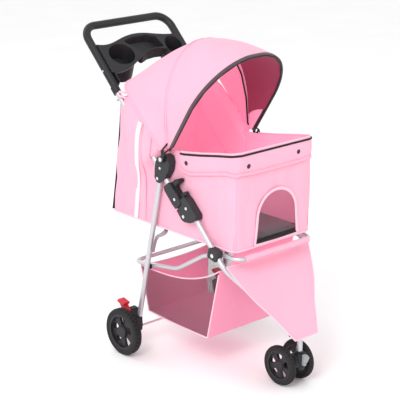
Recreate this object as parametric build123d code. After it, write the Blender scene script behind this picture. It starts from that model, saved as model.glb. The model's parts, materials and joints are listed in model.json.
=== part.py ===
from build123d import *
import math
import os

# Three-wheel folding pet stroller.
# Frame: +Z up, front of the stroller towards -Y, X across, symmetric about X = 0.
# The origin is on the ground below the middle of the stroller. Sizes are in millimetres.

# --- driving dimensions ---------------------------------------------------
frame_half_width = 168.0          # plane of the handle tubes and of all legs
frame_tube_radius = 8.0
frame_tube_wall = 1.2
link_half_width = 149.5           # plane of the folding link's side rails
link_tube_radius = 6.5
fit_gap = 0.05                    # radial clearance of pins and axles
soft_gap = 0.4                    # clearance between soft parts and the frame

# side view (Y, Z) of the pivots of the folding frame
fold_pivot = (-83.0, 480.0)       # handle tube to front leg, in the side latch
leg_pivot = (30.0, 569.0)         # rear leg to the handle bracket
link_front_pivot = (-202.0, 392.0)
link_rear_pivot = (94.0, 276.0)
canopy_pivot = (2.0, 634.0)

# handle
handle_angle = 45.3               # slope of the handle tubes
handle_end = (390.0, 957.5)       # centre of the crossbar
handle_radius = 12.0
handle_half_width = 165.0
handle_bend = 46.0
grip_start = (237.0, 803.0)       # lower end of the moulded handle arms

# wheels
rear_axle = (136.0, 72.5)
rear_wheel_radius = 72.5
rear_wheel_width = 27.0
rear_wheel_centre_x = 229.0
rear_rod_radius = 4.0
front_wheel_radius = 59.5
front_wheel_width = 20.0
front_wheel_centre_x = 36.5
caster_axis_y = -379.0
caster_trail = 41.0
front_rod_radius = 4.0
spoke_count = 5

# soft parts
cabin_half_width = 152.0
cabin_bottom = 404.0
cabin_front_y = -267.0
cabin_rear_bottom_y = 274.0
rim_front_z = 694.0
fabric = 3.0
floor_half_width = 136.0
pad_height = 17.0
basket_half_width = 146.0

SIDES = {"right": -1, "left": 1}


def write(shape, name):
    shape.label = name
    export_step(shape, f"parts/{name}.step")


# --- shape helpers ----------------------------------------------------------
def rod(radius, start, end):
    """Round bar between two points."""
    start, end = Vector(*start), Vector(*end)
    plane = Plane(origin=start, z_dir=end - start)
    return extrude(plane * Circle(radius), (end - start).length)


def pipe(points, bends, radius, wall=0.0):
    """Bent tube along straight runs joined by tangent arcs; hollow if it has a wall."""
    route = FilletPolyline(*points, radius=bends) if bends else Polyline(*points)
    start = Plane(origin=route @ 0, z_dir=route % 0)
    section = Circle(radius)
    if wall:
        section -= Circle(radius - wall)
    return sweep(start * section, path=route)


def side_plate(outline, x_low, x_high, corner=0.0):
    """Plate cut to a side-view (Y, Z) outline between two X planes."""
    face = make_face(Polyline(*outline, close=True))
    if corner:
        face = fillet(face.vertices(), corner)
    plate = extrude(Plane.YZ * face, x_high - x_low)
    return plate.translate((x_low, 0, 0))


def x_disc(radius, centre, x_low, x_high):
    """Disc about an X axis through a side-view point."""
    return rod(radius, (x_low, *centre), (x_high, *centre))


def along_handle(across, along):
    """Side-view point from the fold pivot: across the handle tube to the rear, and up along it."""
    a = math.radians(handle_angle)
    y = fold_pivot[0] + along * math.cos(a) + across * math.sin(a)
    z = fold_pivot[1] + along * math.sin(a) - across * math.cos(a)
    return (y, z)


def at_side(x, side_view):
    return (x, side_view[0], side_view[1])


def span(sign, near, far):
    """X range of a piece on one side, low value first."""
    return tuple(sorted((sign * near, sign * far)))


# --- front frame -------------------------------------------------------------
leg_top = along_handle(-28.0, 30.0)
leg_knee = (-236.0, 356.0)
leg_knee_inset = 4.0
leg_foot = (caster_axis_y + 7.0, 172.0)


def leg_route(sign):
    return [
        (sign * frame_half_width, *leg_top),
        (sign * (frame_half_width - leg_knee_inset), *leg_knee),
        (sign * 20.0, *leg_foot),
    ]


def front_leg(sign):
    leg = pipe(leg_route(sign), 95.0, frame_tube_radius, frame_tube_wall)
    return leg - x_disc(pivot_radius, link_front_pivot, *span(sign, 120, 200))


def front_leg_envelope(sign):
    return pipe(leg_route(sign), 95.0, frame_tube_radius)


crown_bottom, crown_top = 150.0, 180.0
stem_radius, stem_bottom = 8.0, 108.0
kingpin_radius = 5.0


def fork_crown():
    """Moulded head that joins both front legs to the stem."""
    body = rod(11.5, (0, caster_axis_y, crown_bottom), (0, caster_axis_y, crown_top - 8))
    arms = Pos(0, caster_axis_y + 10, crown_top - 13) * Box(60, 22, 24)
    arms = fillet(arms.edges().filter_by(Axis.Z), 9)
    body = body + arms
    body -= rod(stem_radius, (0, caster_axis_y, 0), (0, caster_axis_y, 168))
    for sign in SIDES.values():
        body -= front_leg_envelope(sign)
    return body.solids().sort_by(SortBy.VOLUME)[-1]


def stem_tube():
    outer = rod(stem_radius, (0, caster_axis_y, stem_bottom), (0, caster_axis_y, 168))
    return outer - rod(kingpin_radius + 1.0, (0, caster_axis_y, 0), (0, caster_axis_y, 300))


def stem_bush():
    outer = rod(kingpin_radius + 1.0, (0, caster_axis_y, stem_bottom), (0, caster_axis_y, 164))
    return outer - rod(kingpin_radius + fit_gap, (0, caster_axis_y, 0), (0, caster_axis_y, 300))


lower_outline = [(-46, 26), (-42, 42), (-23, 43), (-18, 30), (13, 29), (14, -4),
                 (8, -14), (-12, -30), (-38, -36), (-47, -26)]
cheek_gap = 6.6
latch_half_thickness = 13.0


def latch_lower(sign):
    """Clevis clamped on top of the front leg; its cheeks hold the fold pivot."""
    outline = [along_handle(*p) for p in lower_outline]
    low, high = (sign * frame_half_width - latch_half_thickness,
                 sign * frame_half_width + latch_half_thickness)
    body = side_plate(outline, low, high, 2.5)
    slot_outline = [along_handle(*p) for p in [(-14, -16), (-14, 60), (40, 60), (40, -40), (4, -34)]]
    middle = sign * frame_half_width
    body -= side_plate(slot_outline, middle - cheek_gap, middle + cheek_gap)
    body -= front_leg_envelope(sign)
    body -= x_disc(pivot_radius, fold_pivot, low - 1, high + 1)
    return body.solids().sort_by(SortBy.VOLUME)[-1]


pivot_radius = 4.0
rivet_head = 1.4


def riveted_pin(x, centre, radius, half, head_radius):
    """Pin across a casing centred at x, with a low head on each face."""
    pin = x_disc(radius, centre, x - half, x + half)
    for side in (-1, 1):
        face = x + side * half
        pin += x_disc(head_radius, centre, *sorted((face, face + side * rivet_head)))
    return pin


def latch_rivets():
    """Rivets of the two side latches: the fold pivots and the rivets through the legs."""
    rivets = []
    for sign in SIDES.values():
        x = sign * frame_half_width
        rivets.append(riveted_pin(x, fold_pivot, pivot_radius, latch_half_thickness, 5.0))
        for side in (-1, 1):
            face = x + side * latch_half_thickness
            centre = along_handle(-27.0, 11.0)
            rivets.append(x_disc(4.5, centre, *sorted((face, face + side * rivet_head))))
    return Compound(rivets)


def link_brackets():
    """Black collars on the front legs that carry the front pins of the folding link."""
    collars = []
    for sign in SIDES.values():
        low, high = span(sign, link_half_width + link_tube_radius + 1.0, frame_half_width + 11.0)
        y, z = link_front_pivot
        body = side_plate([(y - 20, z + 14), (y + 14, z + 22), (y + 22, z - 8), (y - 14, z - 18)],
                          low, high, 5.0)
        body -= front_leg_envelope(sign)
        body -= x_disc(pivot_radius, link_front_pivot, low - 1, high + 1)
        collars.append(body.solids().sort_by(SortBy.VOLUME)[-1])
    return Compound(collars)


def link_front_pins():
    pins = []
    for sign in SIDES.values():
        inner, outer = link_half_width - link_tube_radius - 2.5, frame_half_width + 12.5
        pin = x_disc(pivot_radius, link_front_pivot, *span(sign, inner, outer - 1.5))
        pin += x_disc(6.0, link_front_pivot, *span(sign, outer - 1.5, outer))
        pin += x_disc(6.0, link_front_pivot, *span(sign, inner - 1.5, inner))
        pins.append(pin)
    return Compound(pins)


# --- caster -------------------------------------------------------------------
caster_hub_y = caster_axis_y + caster_trail
housing_half_width = front_wheel_centre_x - front_wheel_width / 2 - 2.5


def caster_housing():
    """Black fork body between the twin wheels, with the kingpin socket and the axle boss."""
    socket = rod(15.5, (0, caster_axis_y, 52), (0, caster_axis_y, 102))
    socket += rod(12.0, (0, caster_axis_y, 100), (0, caster_axis_y, stem_bottom - 1.0))
    y = caster_axis_y
    arm_outline = [(y - 12, 66), (y - 6, 96), (y + 14, 101), (y + 38, 84), (y + 54, 66),
                   (y + 52, 50), (y + 36, 43), (y + 10, 48)]
    arm = side_plate(arm_outline, -housing_half_width, housing_half_width, 5.0)
    body = socket + arm
    body -= rod(kingpin_radius, (0, caster_axis_y, 70), (0, caster_axis_y, 130))
    body -= x_disc(front_rod_radius, (caster_hub_y, front_wheel_radius), -60, 60)
    lock_slot = Pos(0, caster_axis_y - 18, 86) * Box(12.4, 12, 44)
    return body - lock_slot


def caster_kingpin():
    pin = rod(kingpin_radius, (0, caster_axis_y, 70), (0, caster_axis_y, 164.5))
    return pin + rod(5.9, (0, caster_axis_y, 164.5), (0, caster_axis_y, 167.5))


def swivel_lock():
    """Grey tab in front of the socket that slides up to stop the caster swivelling."""
    y = caster_axis_y - 17.0
    tab = Pos(0, y - 2.0, 84) * Box(12, 7, 34)
    tab = fillet(tab.edges().filter_by(Axis.Y), 3)
    wings = extrude(Plane.XZ.offset(-(y - 5.5)) * (Pos(0, 90) * RegularPolygon(13, 5)), 5)
    wings = fillet(wings.edges().filter_by(Axis.Y), 2)
    return tab + wings


def front_axle():
    y, z = caster_hub_y, front_wheel_radius
    reach = front_wheel_centre_x + front_wheel_width / 2 - 5.0
    return x_disc(front_rod_radius, (y, z), -reach, reach)


# --- wheels -------------------------------------------------------------------
def wheel_ring(centre, radius, inner, low, high):
    return x_disc(radius, centre, low, high) - x_disc(inner, centre, low - 1, high + 1)


def tyre(centre, x, radius, width, lug_count):
    """Foamed tyre with a rounded shoulder and chunky tread blocks."""
    seat = radius * 0.76
    w = width / 2
    section = make_face(Polyline((seat, -w + 1.5), (radius - 5, -w), (radius - 1.2, -w + 3.2),
                                 (radius, -w + 7), (radius, w - 7), (radius - 1.2, w - 3.2),
                                 (radius - 5, w), (seat, w - 1.5), close=True))
    ring = revolve(Plane.XY * section, Axis.Y)
    ring = Rot(0, 0, -90) * ring
    groove_depth = 2.2
    grooves = []
    for i in range(lug_count):
        for side in (-1, 1):
            turn = 360.0 / lug_count * (i + (0.5 if side > 0 else 0.0))
            groove = Pos(side * w * 0.62, 0, radius) * Box(w * 0.95, 3.4, 2 * groove_depth)
            grooves.append(Rot(turn, 0, 0) * groove)
    return Pos(x, *centre) * (ring - grooves)


def wheel_hub(centre, x, radius, width, axle_radius):
    """Five-spoke wheel centre with a stiffening rim and a domed boss on its outer side."""
    seat = radius * 0.76
    w = width / 2
    rim = wheel_ring((0, 0), seat, seat - 6.5, -w + 1.5, w - 1.5)
    web = wheel_ring((0, 0), seat - 6.5, axle_radius, -4.5, 4.5)
    inner, outer = seat * 0.42, seat - 9.5
    half_gap = math.degrees(0.52)
    window = make_face(Polyline(*[
        (r * math.cos(math.radians(a)), r * math.sin(math.radians(a)))
        for r, a in [(inner, -half_gap * 0.55), (outer, -half_gap * 0.62), (outer * 1.06, 0),
                     (outer, half_gap * 0.62), (inner, half_gap * 0.55)]], close=True))
    window = fillet(window.vertices(), seat * 0.055)
    cutter = extrude(Plane.YZ * window, 40, both=True)
    for i in range(spoke_count):
        web -= Rot(360.0 / spoke_count * i + 18, 0, 0) * cutter
    boss = x_disc(seat * 0.36, (0, 0), -w + 1, w - 1.5)
    boss = fillet(boss.edges().sort_by(Axis.X)[-1], 5.0)
    boss -= x_disc(axle_radius, (0, 0), -w, w - 4.5)
    return Pos(x, *centre) * (rim + web + boss)


# --- rear legs ----------------------------------------------------------------
leg_end = (rear_axle[0] + 3.0, rear_axle[1] + 12.0)


def rear_leg(sign):
    x = sign * frame_half_width
    bar = rod(frame_tube_radius, (x, *leg_pivot), (x, *leg_end))
    bar += x_disc(frame_tube_radius + 1.0, leg_pivot, x - frame_tube_radius, x + frame_tube_radius)
    bar -= x_disc(pivot_radius + fit_gap, leg_pivot, x - 20, x + 20)
    inner = rod(frame_tube_radius - frame_tube_wall, (x, *toward(leg_pivot, leg_end, 22)),
                (x, *leg_end))
    return bar - inner


def toward(start, end, distance):
    """Side-view point a distance from start towards end."""
    length = math.dist(start, end)
    return (start[0] + (end[0] - start[0]) * distance / length,
            start[1] + (end[1] - start[1]) * distance / length)


def rear_carrier(sign):
    """Black block on the foot of the rear leg, with the axle bore and the pedal's ears."""
    y, z = rear_axle
    x = sign * frame_half_width
    outline = [(y - 9, z - 12), (y - 12, z + 6), (y - 10, z + 34), (y + 10, z + 58),
               (y + 28, z + 60), (y + 33, z + 50), (y + 22, z + 12), (y + 14, z - 12)]
    low, high = span(sign, frame_half_width - 4, rear_wheel_centre_x - rear_wheel_width / 2 - 4)
    body = side_plate(outline, low, high, 4.0)
    body -= rod(frame_tube_radius, (x, *leg_pivot), (x, *leg_end))
    body -= x_disc(rear_rod_radius, rear_axle, low - 1, high + 1)
    mid = sign * pedal_centre_x
    slot = Pos(mid, y + 38, z + 61) * Box(pedal_width + 1.0, 60, 40)
    body -= slot
    body -= x_disc(3.0, pedal_pivot, low - 1, high + 1)
    return body.solids().sort_by(SortBy.VOLUME)[-1]


pedal_width = 20.0
pedal_centre_x = 196.0
pedal_pivot = (rear_axle[0] + 22.0, rear_axle[1] + 50.0)


def pedal_pins():
    pins = []
    for sign in SIDES.values():
        low, high = span(sign, pedal_centre_x - 15, pedal_centre_x + 15)
        pins.append(x_disc(3.0, pedal_pivot, low, high))
    return Compound(pins)


def brake_pedal(sign):
    """Red foot pedal: a barrel on its pin, an upright neck and a broad tread plate."""
    y, z = pedal_pivot
    x = sign * pedal_centre_x
    low, high = x - pedal_width / 2, x + pedal_width / 2
    barrel = x_disc(8.0, pedal_pivot, low, high)
    neck = side_plate([(y - 2, z + 2), (y + 10, z + 22), (y + 24, z + 20), (y + 8, z - 2)],
                      low, high, 1.5)
    plate = side_plate([(y, z + 27), (y + 31, z + 34), (y + 35, z + 26), (y + 9, z + 16)],
                       x - 11.5, x + 11.5, 2.5)
    body = barrel + neck + plate
    return body - x_disc(3.0 + fit_gap, pedal_pivot, low - 1, high + 1)


def rear_axle_rod():
    reach = rear_wheel_centre_x + rear_wheel_width / 2 - 5.0
    return x_disc(rear_rod_radius, rear_axle, -reach, reach)


def link_spacers():
    """Black spacers between the rear legs and the folding link's rails."""
    rings = []
    for sign in SIDES.values():
        inner = link_half_width + link_tube_radius + 0.6
        outer = frame_half_width - frame_tube_radius
        ring = x_disc(8.5, link_rear_pivot, *span(sign, inner, outer))
        bar = rod(frame_tube_radius, (sign * frame_half_width, *leg_pivot),
                  (sign * frame_half_width, *leg_end))
        rings.append(ring - bar)
    return Compound(rings)


# --- folding link -------------------------------------------------------------
rail_front = (-236.0, 391.0)
rail_knee = (-132.0, 366.0)
rail_low = (-20.0, 296.0)
rail_rear = (128.0, 275.0)
front_overhang, rear_overhang = 44.0, 52.0


def link_rail(sign):
    points = [rail_front, link_front_pivot, rail_knee, rail_low, rail_rear]
    points = [at_side(sign * link_half_width, p) for p in points]
    rail = pipe(points, [30, 60, 90], link_tube_radius, 1.2)
    low, high = span(sign, link_half_width - 10, link_half_width + 10)
    return rail - x_disc(pivot_radius + fit_gap, link_front_pivot, low, high)


def link_cross(before, rail_end, overhang):
    """U-shaped end of the folding link: a cross tube with rounded corners."""
    cross = toward(before, rail_end, math.dist(before, rail_end) + overhang)
    points = [at_side(-link_half_width, rail_end), at_side(-link_half_width, cross),
              at_side(link_half_width, cross), at_side(link_half_width, rail_end)]
    return pipe(points, 34.0, link_tube_radius, 1.2)


# --- handle -------------------------------------------------------------------
tube_low, tube_high = 70.0, 447.0
upper_outline = [(-15, 33), (-20, 46), (-21, 62), (-18, 90), (-15, 108), (12, 110), (17, 98),
                 (17, 52), (14, 34)]


def handle_tube(sign):
    x = sign * frame_half_width
    start, end = (x, *along_handle(0, tube_low)), (x, *along_handle(0, tube_high))
    return rod(frame_tube_radius, start, end) - rod(frame_tube_radius - frame_tube_wall, start, end)


def handle_tube_envelope(sign):
    x = sign * frame_half_width
    return rod(frame_tube_radius, (x, *along_handle(0, tube_low)), (x, *along_handle(0, tube_high)))


def latch_upper(sign):
    """Casing on the foot of the handle tube, with a tongue that turns between the cheeks."""
    x = sign * frame_half_width
    body = side_plate([along_handle(*p) for p in upper_outline],
                      x - latch_half_thickness, x + latch_half_thickness, 3.0)
    tongue = side_plate([along_handle(*p) for p in [(-11, 0), (-11, 50), (11, 50), (11, 0)]],
                        x - cheek_gap + 0.5, x + cheek_gap - 0.5)
    tongue += x_disc(11.0, fold_pivot, x - cheek_gap + 0.5, x + cheek_gap - 0.5)
    body += tongue
    slot = [(-60, 40), (8, 40), (8, 68), (-11, 74), (-11, 120), (-60, 120)]
    body -= side_plate([along_handle(*p) for p in slot], x - 5.6, x + 5.6)
    body -= handle_tube_envelope(sign)
    body -= x_disc(pivot_radius + fit_gap, fold_pivot, x - 20, x + 20)
    body -= x_disc(3.0, along_handle(*hook_pivot), x - 20, x + 20)
    return body.solids().sort_by(SortBy.VOLUME)[-1]


hook_pivot = (-3.0, 57.0)


def latch_hook(sign):
    """Release lever: a claw over the clevis and a finger trigger at the top."""
    x = sign * frame_half_width
    claw = [(-8, 50), (-28, 45), (-46, 45), (-47, 41), (-51, 41), (-52, 52), (-30, 58), (-20, 66)]
    lever = [(-8, 50), (-20, 60), (-26, 84), (-52, 84), (-56, 92), (-44, 100), (-24, 102),
             (-21, 92), (-15.5, 70), (-4, 64)]
    body = side_plate([along_handle(*p) for p in claw], x - 5.0, x + 5.0, 0.8)
    body += side_plate([along_handle(*p) for p in lever], x - 5.0, x + 5.0, 1.5)
    body += x_disc(7.0, along_handle(*hook_pivot), x - 5.0, x + 5.0)
    grip = [along_handle(*p) for p in [(-30, 86), (-52, 84), (-56, 92), (-44, 100), (-30, 101)]]
    body += side_plate(grip, x - 11.0, x + 11.0, 3.0)
    return body - x_disc(3.0 + fit_gap, along_handle(*hook_pivot), x - 20, x + 20)


bracket_outline = [(-12, 184), (-30, 186), (-56, 179), (-66, 164), (-58, 146), (-36, 131), (-8, 125),
                   (20, 127), (29, 137), (27, 152), (8, 170)]
bracket_half = 12.5


def handle_brackets():
    """Riveted casings that join the rear legs and the canopy to the handle tubes."""
    casings = []
    for sign in SIDES.values():
        x = sign * frame_half_width
        body = side_plate([along_handle(*p) for p in bracket_outline],
                          x - bracket_half, x + bracket_half, 5.0)
        room = [(8.4, 96), (8.4, 210), (70, 210), (70, 96)]
        body -= side_plate([along_handle(*p) for p in room], x - 9.2, x + 9.2)
        body -= handle_tube_envelope(sign)
        body -= x_disc(pivot_radius, leg_pivot, x - 20, x + 20)
        body -= x_disc(3.0, canopy_pivot, x - 20, x + 20)
        casings.append(body.solids().sort_by(SortBy.VOLUME)[-1])
    return Compound(casings)


def handle_rivets():
    """Bright rivets on the handle side: leg pivots, bracket rivets and hook pins."""
    rivets = []
    for sign in SIDES.values():
        x = sign * frame_half_width
        rivets.append(riveted_pin(x, leg_pivot, pivot_radius, bracket_half, 4.8))
        rivets.append(riveted_pin(x, along_handle(*hook_pivot), 3.0, latch_half_thickness, 4.5))
        for side in (-1, 1):
            face = x + side * bracket_half
            head = x_disc(4.2, along_handle(-14.0, 158.0), *sorted((face, face + side * rivet_head)))
            rivets.append(head)
    return Compound(rivets)


def handle_grip():
    """Moulded U handle: two arms and a crossbar."""
    x = handle_half_width
    points = [(-x, *grip_start), (-x, *handle_end), (x, *handle_end), (x, *grip_start)]
    grip = pipe(points, handle_bend, handle_radius)
    for sign in SIDES.values():
        grip -= handle_tube_envelope(sign)
    return grip - list(tray_screws().solids())


# --- cup tray -----------------------------------------------------------------
# The tray's mouth lies in the plane of the handle arms. Its outline is given in that
# plane: X, and distance up the slope from the lower end of the moulded arms.
tray_rise = 16.0
well_wall = 3.5
near_cup = (-91.0, 96.0, 46.0, 37.0)       # centre x, centre up the slope, half sizes
far_cup = (117.0, 96.0, 31.0, 35.0)


def tray_plane(lift):
    a = math.radians(handle_angle)
    origin = (0, grip_start[0] - lift * math.sin(a), grip_start[1] + lift * math.cos(a))
    return Plane(origin=origin, x_dir=(1, 0, 0), z_dir=(0, -math.sin(a), math.cos(a)))


def tray_outline():
    inner = handle_half_width - 5.0
    rear = Spline((-inner, 142), (-108, 138), (-58, 151), (19, 157), (80, 144), (inner, 138))
    front = Spline((inner, 52), (107, 76), (60, 93), (10, 90), (-34, 70), (-70, 52), (-inner, 40))
    return make_face(Curve() + [rear, Line(rear @ 1, front @ 0), front, Line(front @ 1, rear @ 0)])


def middle_mouth(wall):
    """Mouth of the middle compartment, grown outwards by wall."""
    corners = [(-62, 140), (-18, 148), (32, 148), (66, 137), (73, 112), (80, 97), (45, 99),
               (12, 96), (-16, 86), (-34, 114)]
    mouth = make_face(Polyline(*corners, close=True))
    mouth = fillet(mouth.vertices(), 5.0)
    return offset(mouth, wall) if wall else mouth


def cup_mouth(cup, wall):
    x, up, half_x, half_up = cup
    return Pos(x, up) * Ellipse(half_x + wall, half_up + wall)


def tray_wells(wall, lift, shorter):
    """The three wells as solids that drop from the tray, each with its own depth."""
    drop = (0, 0.30, -1.0)
    mouths = [(cup_mouth(near_cup, wall), 58.0), (cup_mouth(far_cup, wall), 52.0),
              (middle_mouth(wall), 32.0)]
    return [extrude(tray_plane(tray_rise + lift) * mouth, depth - shorter, dir=drop)
            for mouth, depth in mouths]


def cup_tray():
    """Moulded tray between the handle arms, with two cup wells and a middle compartment."""
    plate = extrude(tray_plane(tray_rise) * tray_outline(), -9.0)
    body = plate + tray_wells(well_wall, -1.0, 0.0)
    body -= tray_wells(0.0, 1.0, 2 * well_wall)
    for sign in SIDES.values():
        low, high = span(sign, handle_half_width - 12.0, handle_half_width - 16.5)
        cheek = [along_grip(-12, -2), (along_grip(16, 6)), along_grip(16, 30), along_grip(15, 120),
                 along_grip(-10, 120), along_grip(-26, 80), along_grip(-26, 10)]
        body += side_plate(cheek, low, high, 3.0)
    x = handle_half_width
    points = [(-x, *grip_start), (-x, *handle_end), (x, *handle_end), (x, *grip_start)]
    body -= pipe(points, handle_bend, handle_radius)
    return body.solids().sort_by(SortBy.VOLUME)[-1]


def along_grip(lift, up):
    """Side-view point beside the handle arm: above its centre line, and up the slope."""
    a = math.radians(handle_angle)
    return (grip_start[0] + up * math.cos(a) - lift * math.sin(a),
            grip_start[1] + up * math.sin(a) + lift * math.cos(a))


def handle_collars():
    """Black sockets at the foot of the moulded arms, around the handle tubes."""
    collars = []
    for sign in SIDES.values():
        x = sign * frame_half_width
        end = math.dist(along_handle(0, 0), grip_start)
        low = along_handle(0, end - 24)
        high = along_handle(0, end - 1)
        collar = rod(12.5, (x, *low), (x, *high)) - rod(frame_tube_radius, (x, *low), (x, *high))
        collars.append(collar)
    return Compound(collars)


def tray_screws():
    heads = []
    for sign in SIDES.values():
        x = sign * (handle_half_width + handle_radius)
        heads.append(x_disc(3.5, along_grip(0, 58), *sorted((x - sign * 3, x + sign * 0.6))))
    return Compound(heads)


# --- canopy -------------------------------------------------------------------
# Each section is an arch in a plane through the canopy pivots. Angles are measured from
# the forward horizontal, up and over to the rear.
arches = {
    "front": dict(angle=57.0, half=170.0, shoulder=176.0, height=366.0, round=158.0),
    "middle": dict(angle=95.0, half=163.0, shoulder=100.0, height=322.0, round=150.0),
    "rear": dict(angle=134.7, half=180.0, shoulder=238.0, height=272.0, round=40.0),
}
canopy_thickness = 2.0
canopy_hem = 52.0


def arch_plane(angle):
    a = math.radians(angle)
    up = Vector(0, -math.cos(a), math.sin(a))
    return Plane(origin=(0, *canopy_pivot), x_dir=(1, 0, 0), z_dir=Vector(1, 0, 0).cross(up))


def arch_line(arch, inset, foot):
    """Arch from foot to foot: straight sides, quarter-ellipse shoulders and a flat crown."""
    w, h = arch["half"] - inset, arch["height"] - inset
    a, s = arch["round"] - inset, arch["shoulder"]
    left = EllipticalCenterArc((-(w - a), s), a, h - s, start_angle=90, arc_size=90)
    right = EllipticalCenterArc((w - a, s), a, h - s, start_angle=0, arc_size=90)
    return [Line((-w, foot), (-w, s)), left, Line((-(w - a), h), (w - a, h)), right,
            Line((w, s), (w, foot))]


def arch_band(arch, inset, thickness, foot):
    outer = arch_line(arch, inset, foot)
    inner = arch_line(arch, inset + thickness, foot)
    w = arch["half"] - inset
    feet = [Line((-w, foot), (-w + thickness, foot)), Line((w, foot), (w - thickness, foot))]
    return arch_plane(arch["angle"]) * make_face(Curve() + outer + inner + feet)


def canopy_cover():
    """Fabric hood stretched over the bows, open at the front, the rear and below."""
    rear = arch_band(arches["rear"], 0, canopy_thickness, canopy_hem)
    middle = arch_band(arches["middle"], 0, canopy_thickness, canopy_hem)
    front = arch_band(arches["front"], 0, canopy_thickness, canopy_hem)
    return loft([rear, middle], ruled=True) + loft([middle, front], ruled=True)


bow_radius = 2.5


def canopy_bow(arch, hub_low):
    """Bow rod inside the hood, with a flat hub plate on each pivot."""
    inset = canopy_thickness + bow_radius + soft_gap
    w, h = arch["half"] - inset, arch["height"] - inset
    s, a = arch["shoulder"], arch["round"] - inset
    hub_x = hub_low + 1.5
    plane = arch_plane(arch["angle"])
    turns = [math.radians(t) for t in (6, 26, 46, 66, 84)]
    corner = [(w - a + a * math.cos(t), s + (h - s) * math.sin(t)) for t in turns]
    half = [(hub_x, 14), (hub_x, 27), (w, 44), *corner]
    points = [(-x, u) for x, u in half] + [(x, u) for x, u in reversed(half)]
    points = [plane.from_local_coords((x, u, 0)) for x, u in points]
    bends = [8.0, 8.0] + [40.0] * (2 * len(corner)) + [8.0, 8.0]
    rod_part = pipe([tuple(p) for p in points], bends, bow_radius)
    for sign in SIDES.values():
        low, high = span(sign, hub_low, hub_low + 3.0)
        up = toward(canopy_pivot, arch_point(arch, 60), 26)
        plate = x_disc(10.0, canopy_pivot, low, high)
        strap = side_plate(strap_outline(canopy_pivot, up, 5.0), low, high)
        rod_part += plate + strap
        rod_part -= x_disc(3.0 + fit_gap, canopy_pivot, low - 1, high + 1)
    return rod_part


def arch_point(arch, distance):
    a = math.radians(arch["angle"])
    return (canopy_pivot[0] - distance * math.cos(a), canopy_pivot[1] + distance * math.sin(a))


def strap_outline(start, end, half_width):
    length = math.dist(start, end)
    ny, nz = -(end[1] - start[1]) / length, (end[0] - start[0]) / length
    return [(start[0] + ny * half_width, start[1] + nz * half_width),
            (end[0] + ny * half_width, end[1] + nz * half_width),
            (end[0] - ny * half_width, end[1] - nz * half_width),
            (start[0] - ny * half_width, start[1] - nz * half_width)]


front_hub_low, middle_hub_low = 187.5, 182.0


def canopy_pivot_pins():
    pins = []
    for sign in SIDES.values():
        low, high = span(sign, frame_half_width - 12.5, front_hub_low + 3.6)
        pin = x_disc(3.0, canopy_pivot, low, high)
        cap_low, cap_high = span(sign, front_hub_low + 3.6, front_hub_low + 7.0)
        pin += x_disc(6.5, canopy_pivot, cap_low, cap_high)
        pins.append(pin)
    return Compound(pins)


# --- cabin --------------------------------------------------------------------
cabin_profile = [
    (cabin_front_y, cabin_bottom), (cabin_rear_bottom_y, cabin_bottom + 2), (212.0, 768.0),
    (186.0, 768.0), (30.0, 655.0), (-60.0, 660.0), (cabin_front_y, rim_front_z),
]


def cabin_shell():
    """Fabric tub: floor and four walls, open at the top, with an arched front window."""
    w = cabin_half_width
    outer = side_plate(cabin_profile, -w, w)
    upright = outer.edges().filter_by(Axis.Z).group_by(Axis.Y)[0]
    outer = fillet(upright, 22.0)
    hollow_profile = [
        (cabin_front_y + fabric, cabin_bottom + fabric),
        (cabin_rear_bottom_y - fabric, cabin_bottom + fabric + 2),
        (212.0 - fabric, 768.0), (212.0 - fabric, 900.0), (cabin_front_y + fabric, 900.0)]
    hollow = side_plate(hollow_profile, -w + fabric, w - fabric)
    hollow = fillet(hollow.edges().filter_by(Axis.Z).group_by(Axis.Y)[0], 19.0)
    shell = outer - hollow
    window = front_window_face(0.0)
    opening = extrude(Plane.XZ.offset(-cabin_front_y + 20) * window, -60)
    rear = extrude(Plane.XZ.offset(-cabin_rear_bottom_y - 40) * rear_window_face(0.0), 160)
    return shell - opening - rear


window_sill, window_spring, window_top = 418.0, 486.0, 566.0
window_half_width = 76.0
window_centre_x = 8.0


def front_window_face(inset):
    w = window_half_width - inset
    low, high = window_sill + inset, window_top - inset
    x = window_centre_x
    sides = [Line((x - w, window_spring), (x - w - 8, low)), Line((x - w - 8, low), (x + w + 8, low)),
             Line((x + w + 8, low), (x + w, window_spring))]
    arch = Spline((x + w, window_spring), (x + w * 0.72, high - 18), (x, high),
                  (x - w * 0.72, high - 18), (x - w, window_spring))
    return make_face(Curve() + sides + [arch])


def window_mesh():
    """Mesh panel set into the front window."""
    face = front_window_face(0.3)
    return extrude(Plane.XZ.offset(-cabin_front_y - 1.0) * face, -0.8)


rear_window = dict(half=112.0, low=470.0, high=720.0)


def rear_window_face(inset):
    middle = (rear_window["low"] + rear_window["high"]) / 2
    height = rear_window["high"] - rear_window["low"] - 2 * inset
    face = Pos(0, middle) * RectangleRounded(2 * rear_window["half"] - 2 * inset, height, 24)
    return face


def rear_mesh():
    """Mesh panel in the rear wall, following the wall's lean."""
    top, bottom = (212.0, 768.0), (cabin_rear_bottom_y, cabin_bottom + 2)
    slope = (top[0] - bottom[0]) / (top[1] - bottom[1])
    z_low, z_high = rear_window["low"] - 30, rear_window["high"] + 30
    y_at = [bottom[0] + slope * (z - bottom[1]) for z in (z_low, z_high)]
    slab = side_plate([(y_at[0] - 2.0, z_low), (y_at[1] - 2.0, z_high),
                       (y_at[1] - 1.0, z_high), (y_at[0] - 1.0, z_low)], -150, 150)
    cut = extrude(Plane.XZ.offset(-400) * rear_window_face(0.3), 400)
    return slab & cut


def floor_board():
    y_low, y_high = -258.0, 262.0
    z = cabin_bottom + fabric + 2.2
    board = Pos(0, (y_low + y_high) / 2, z + 2) * Box(2 * floor_half_width, y_high - y_low, 4)
    return fillet(board.edges().filter_by(Axis.Z), 12)


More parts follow.
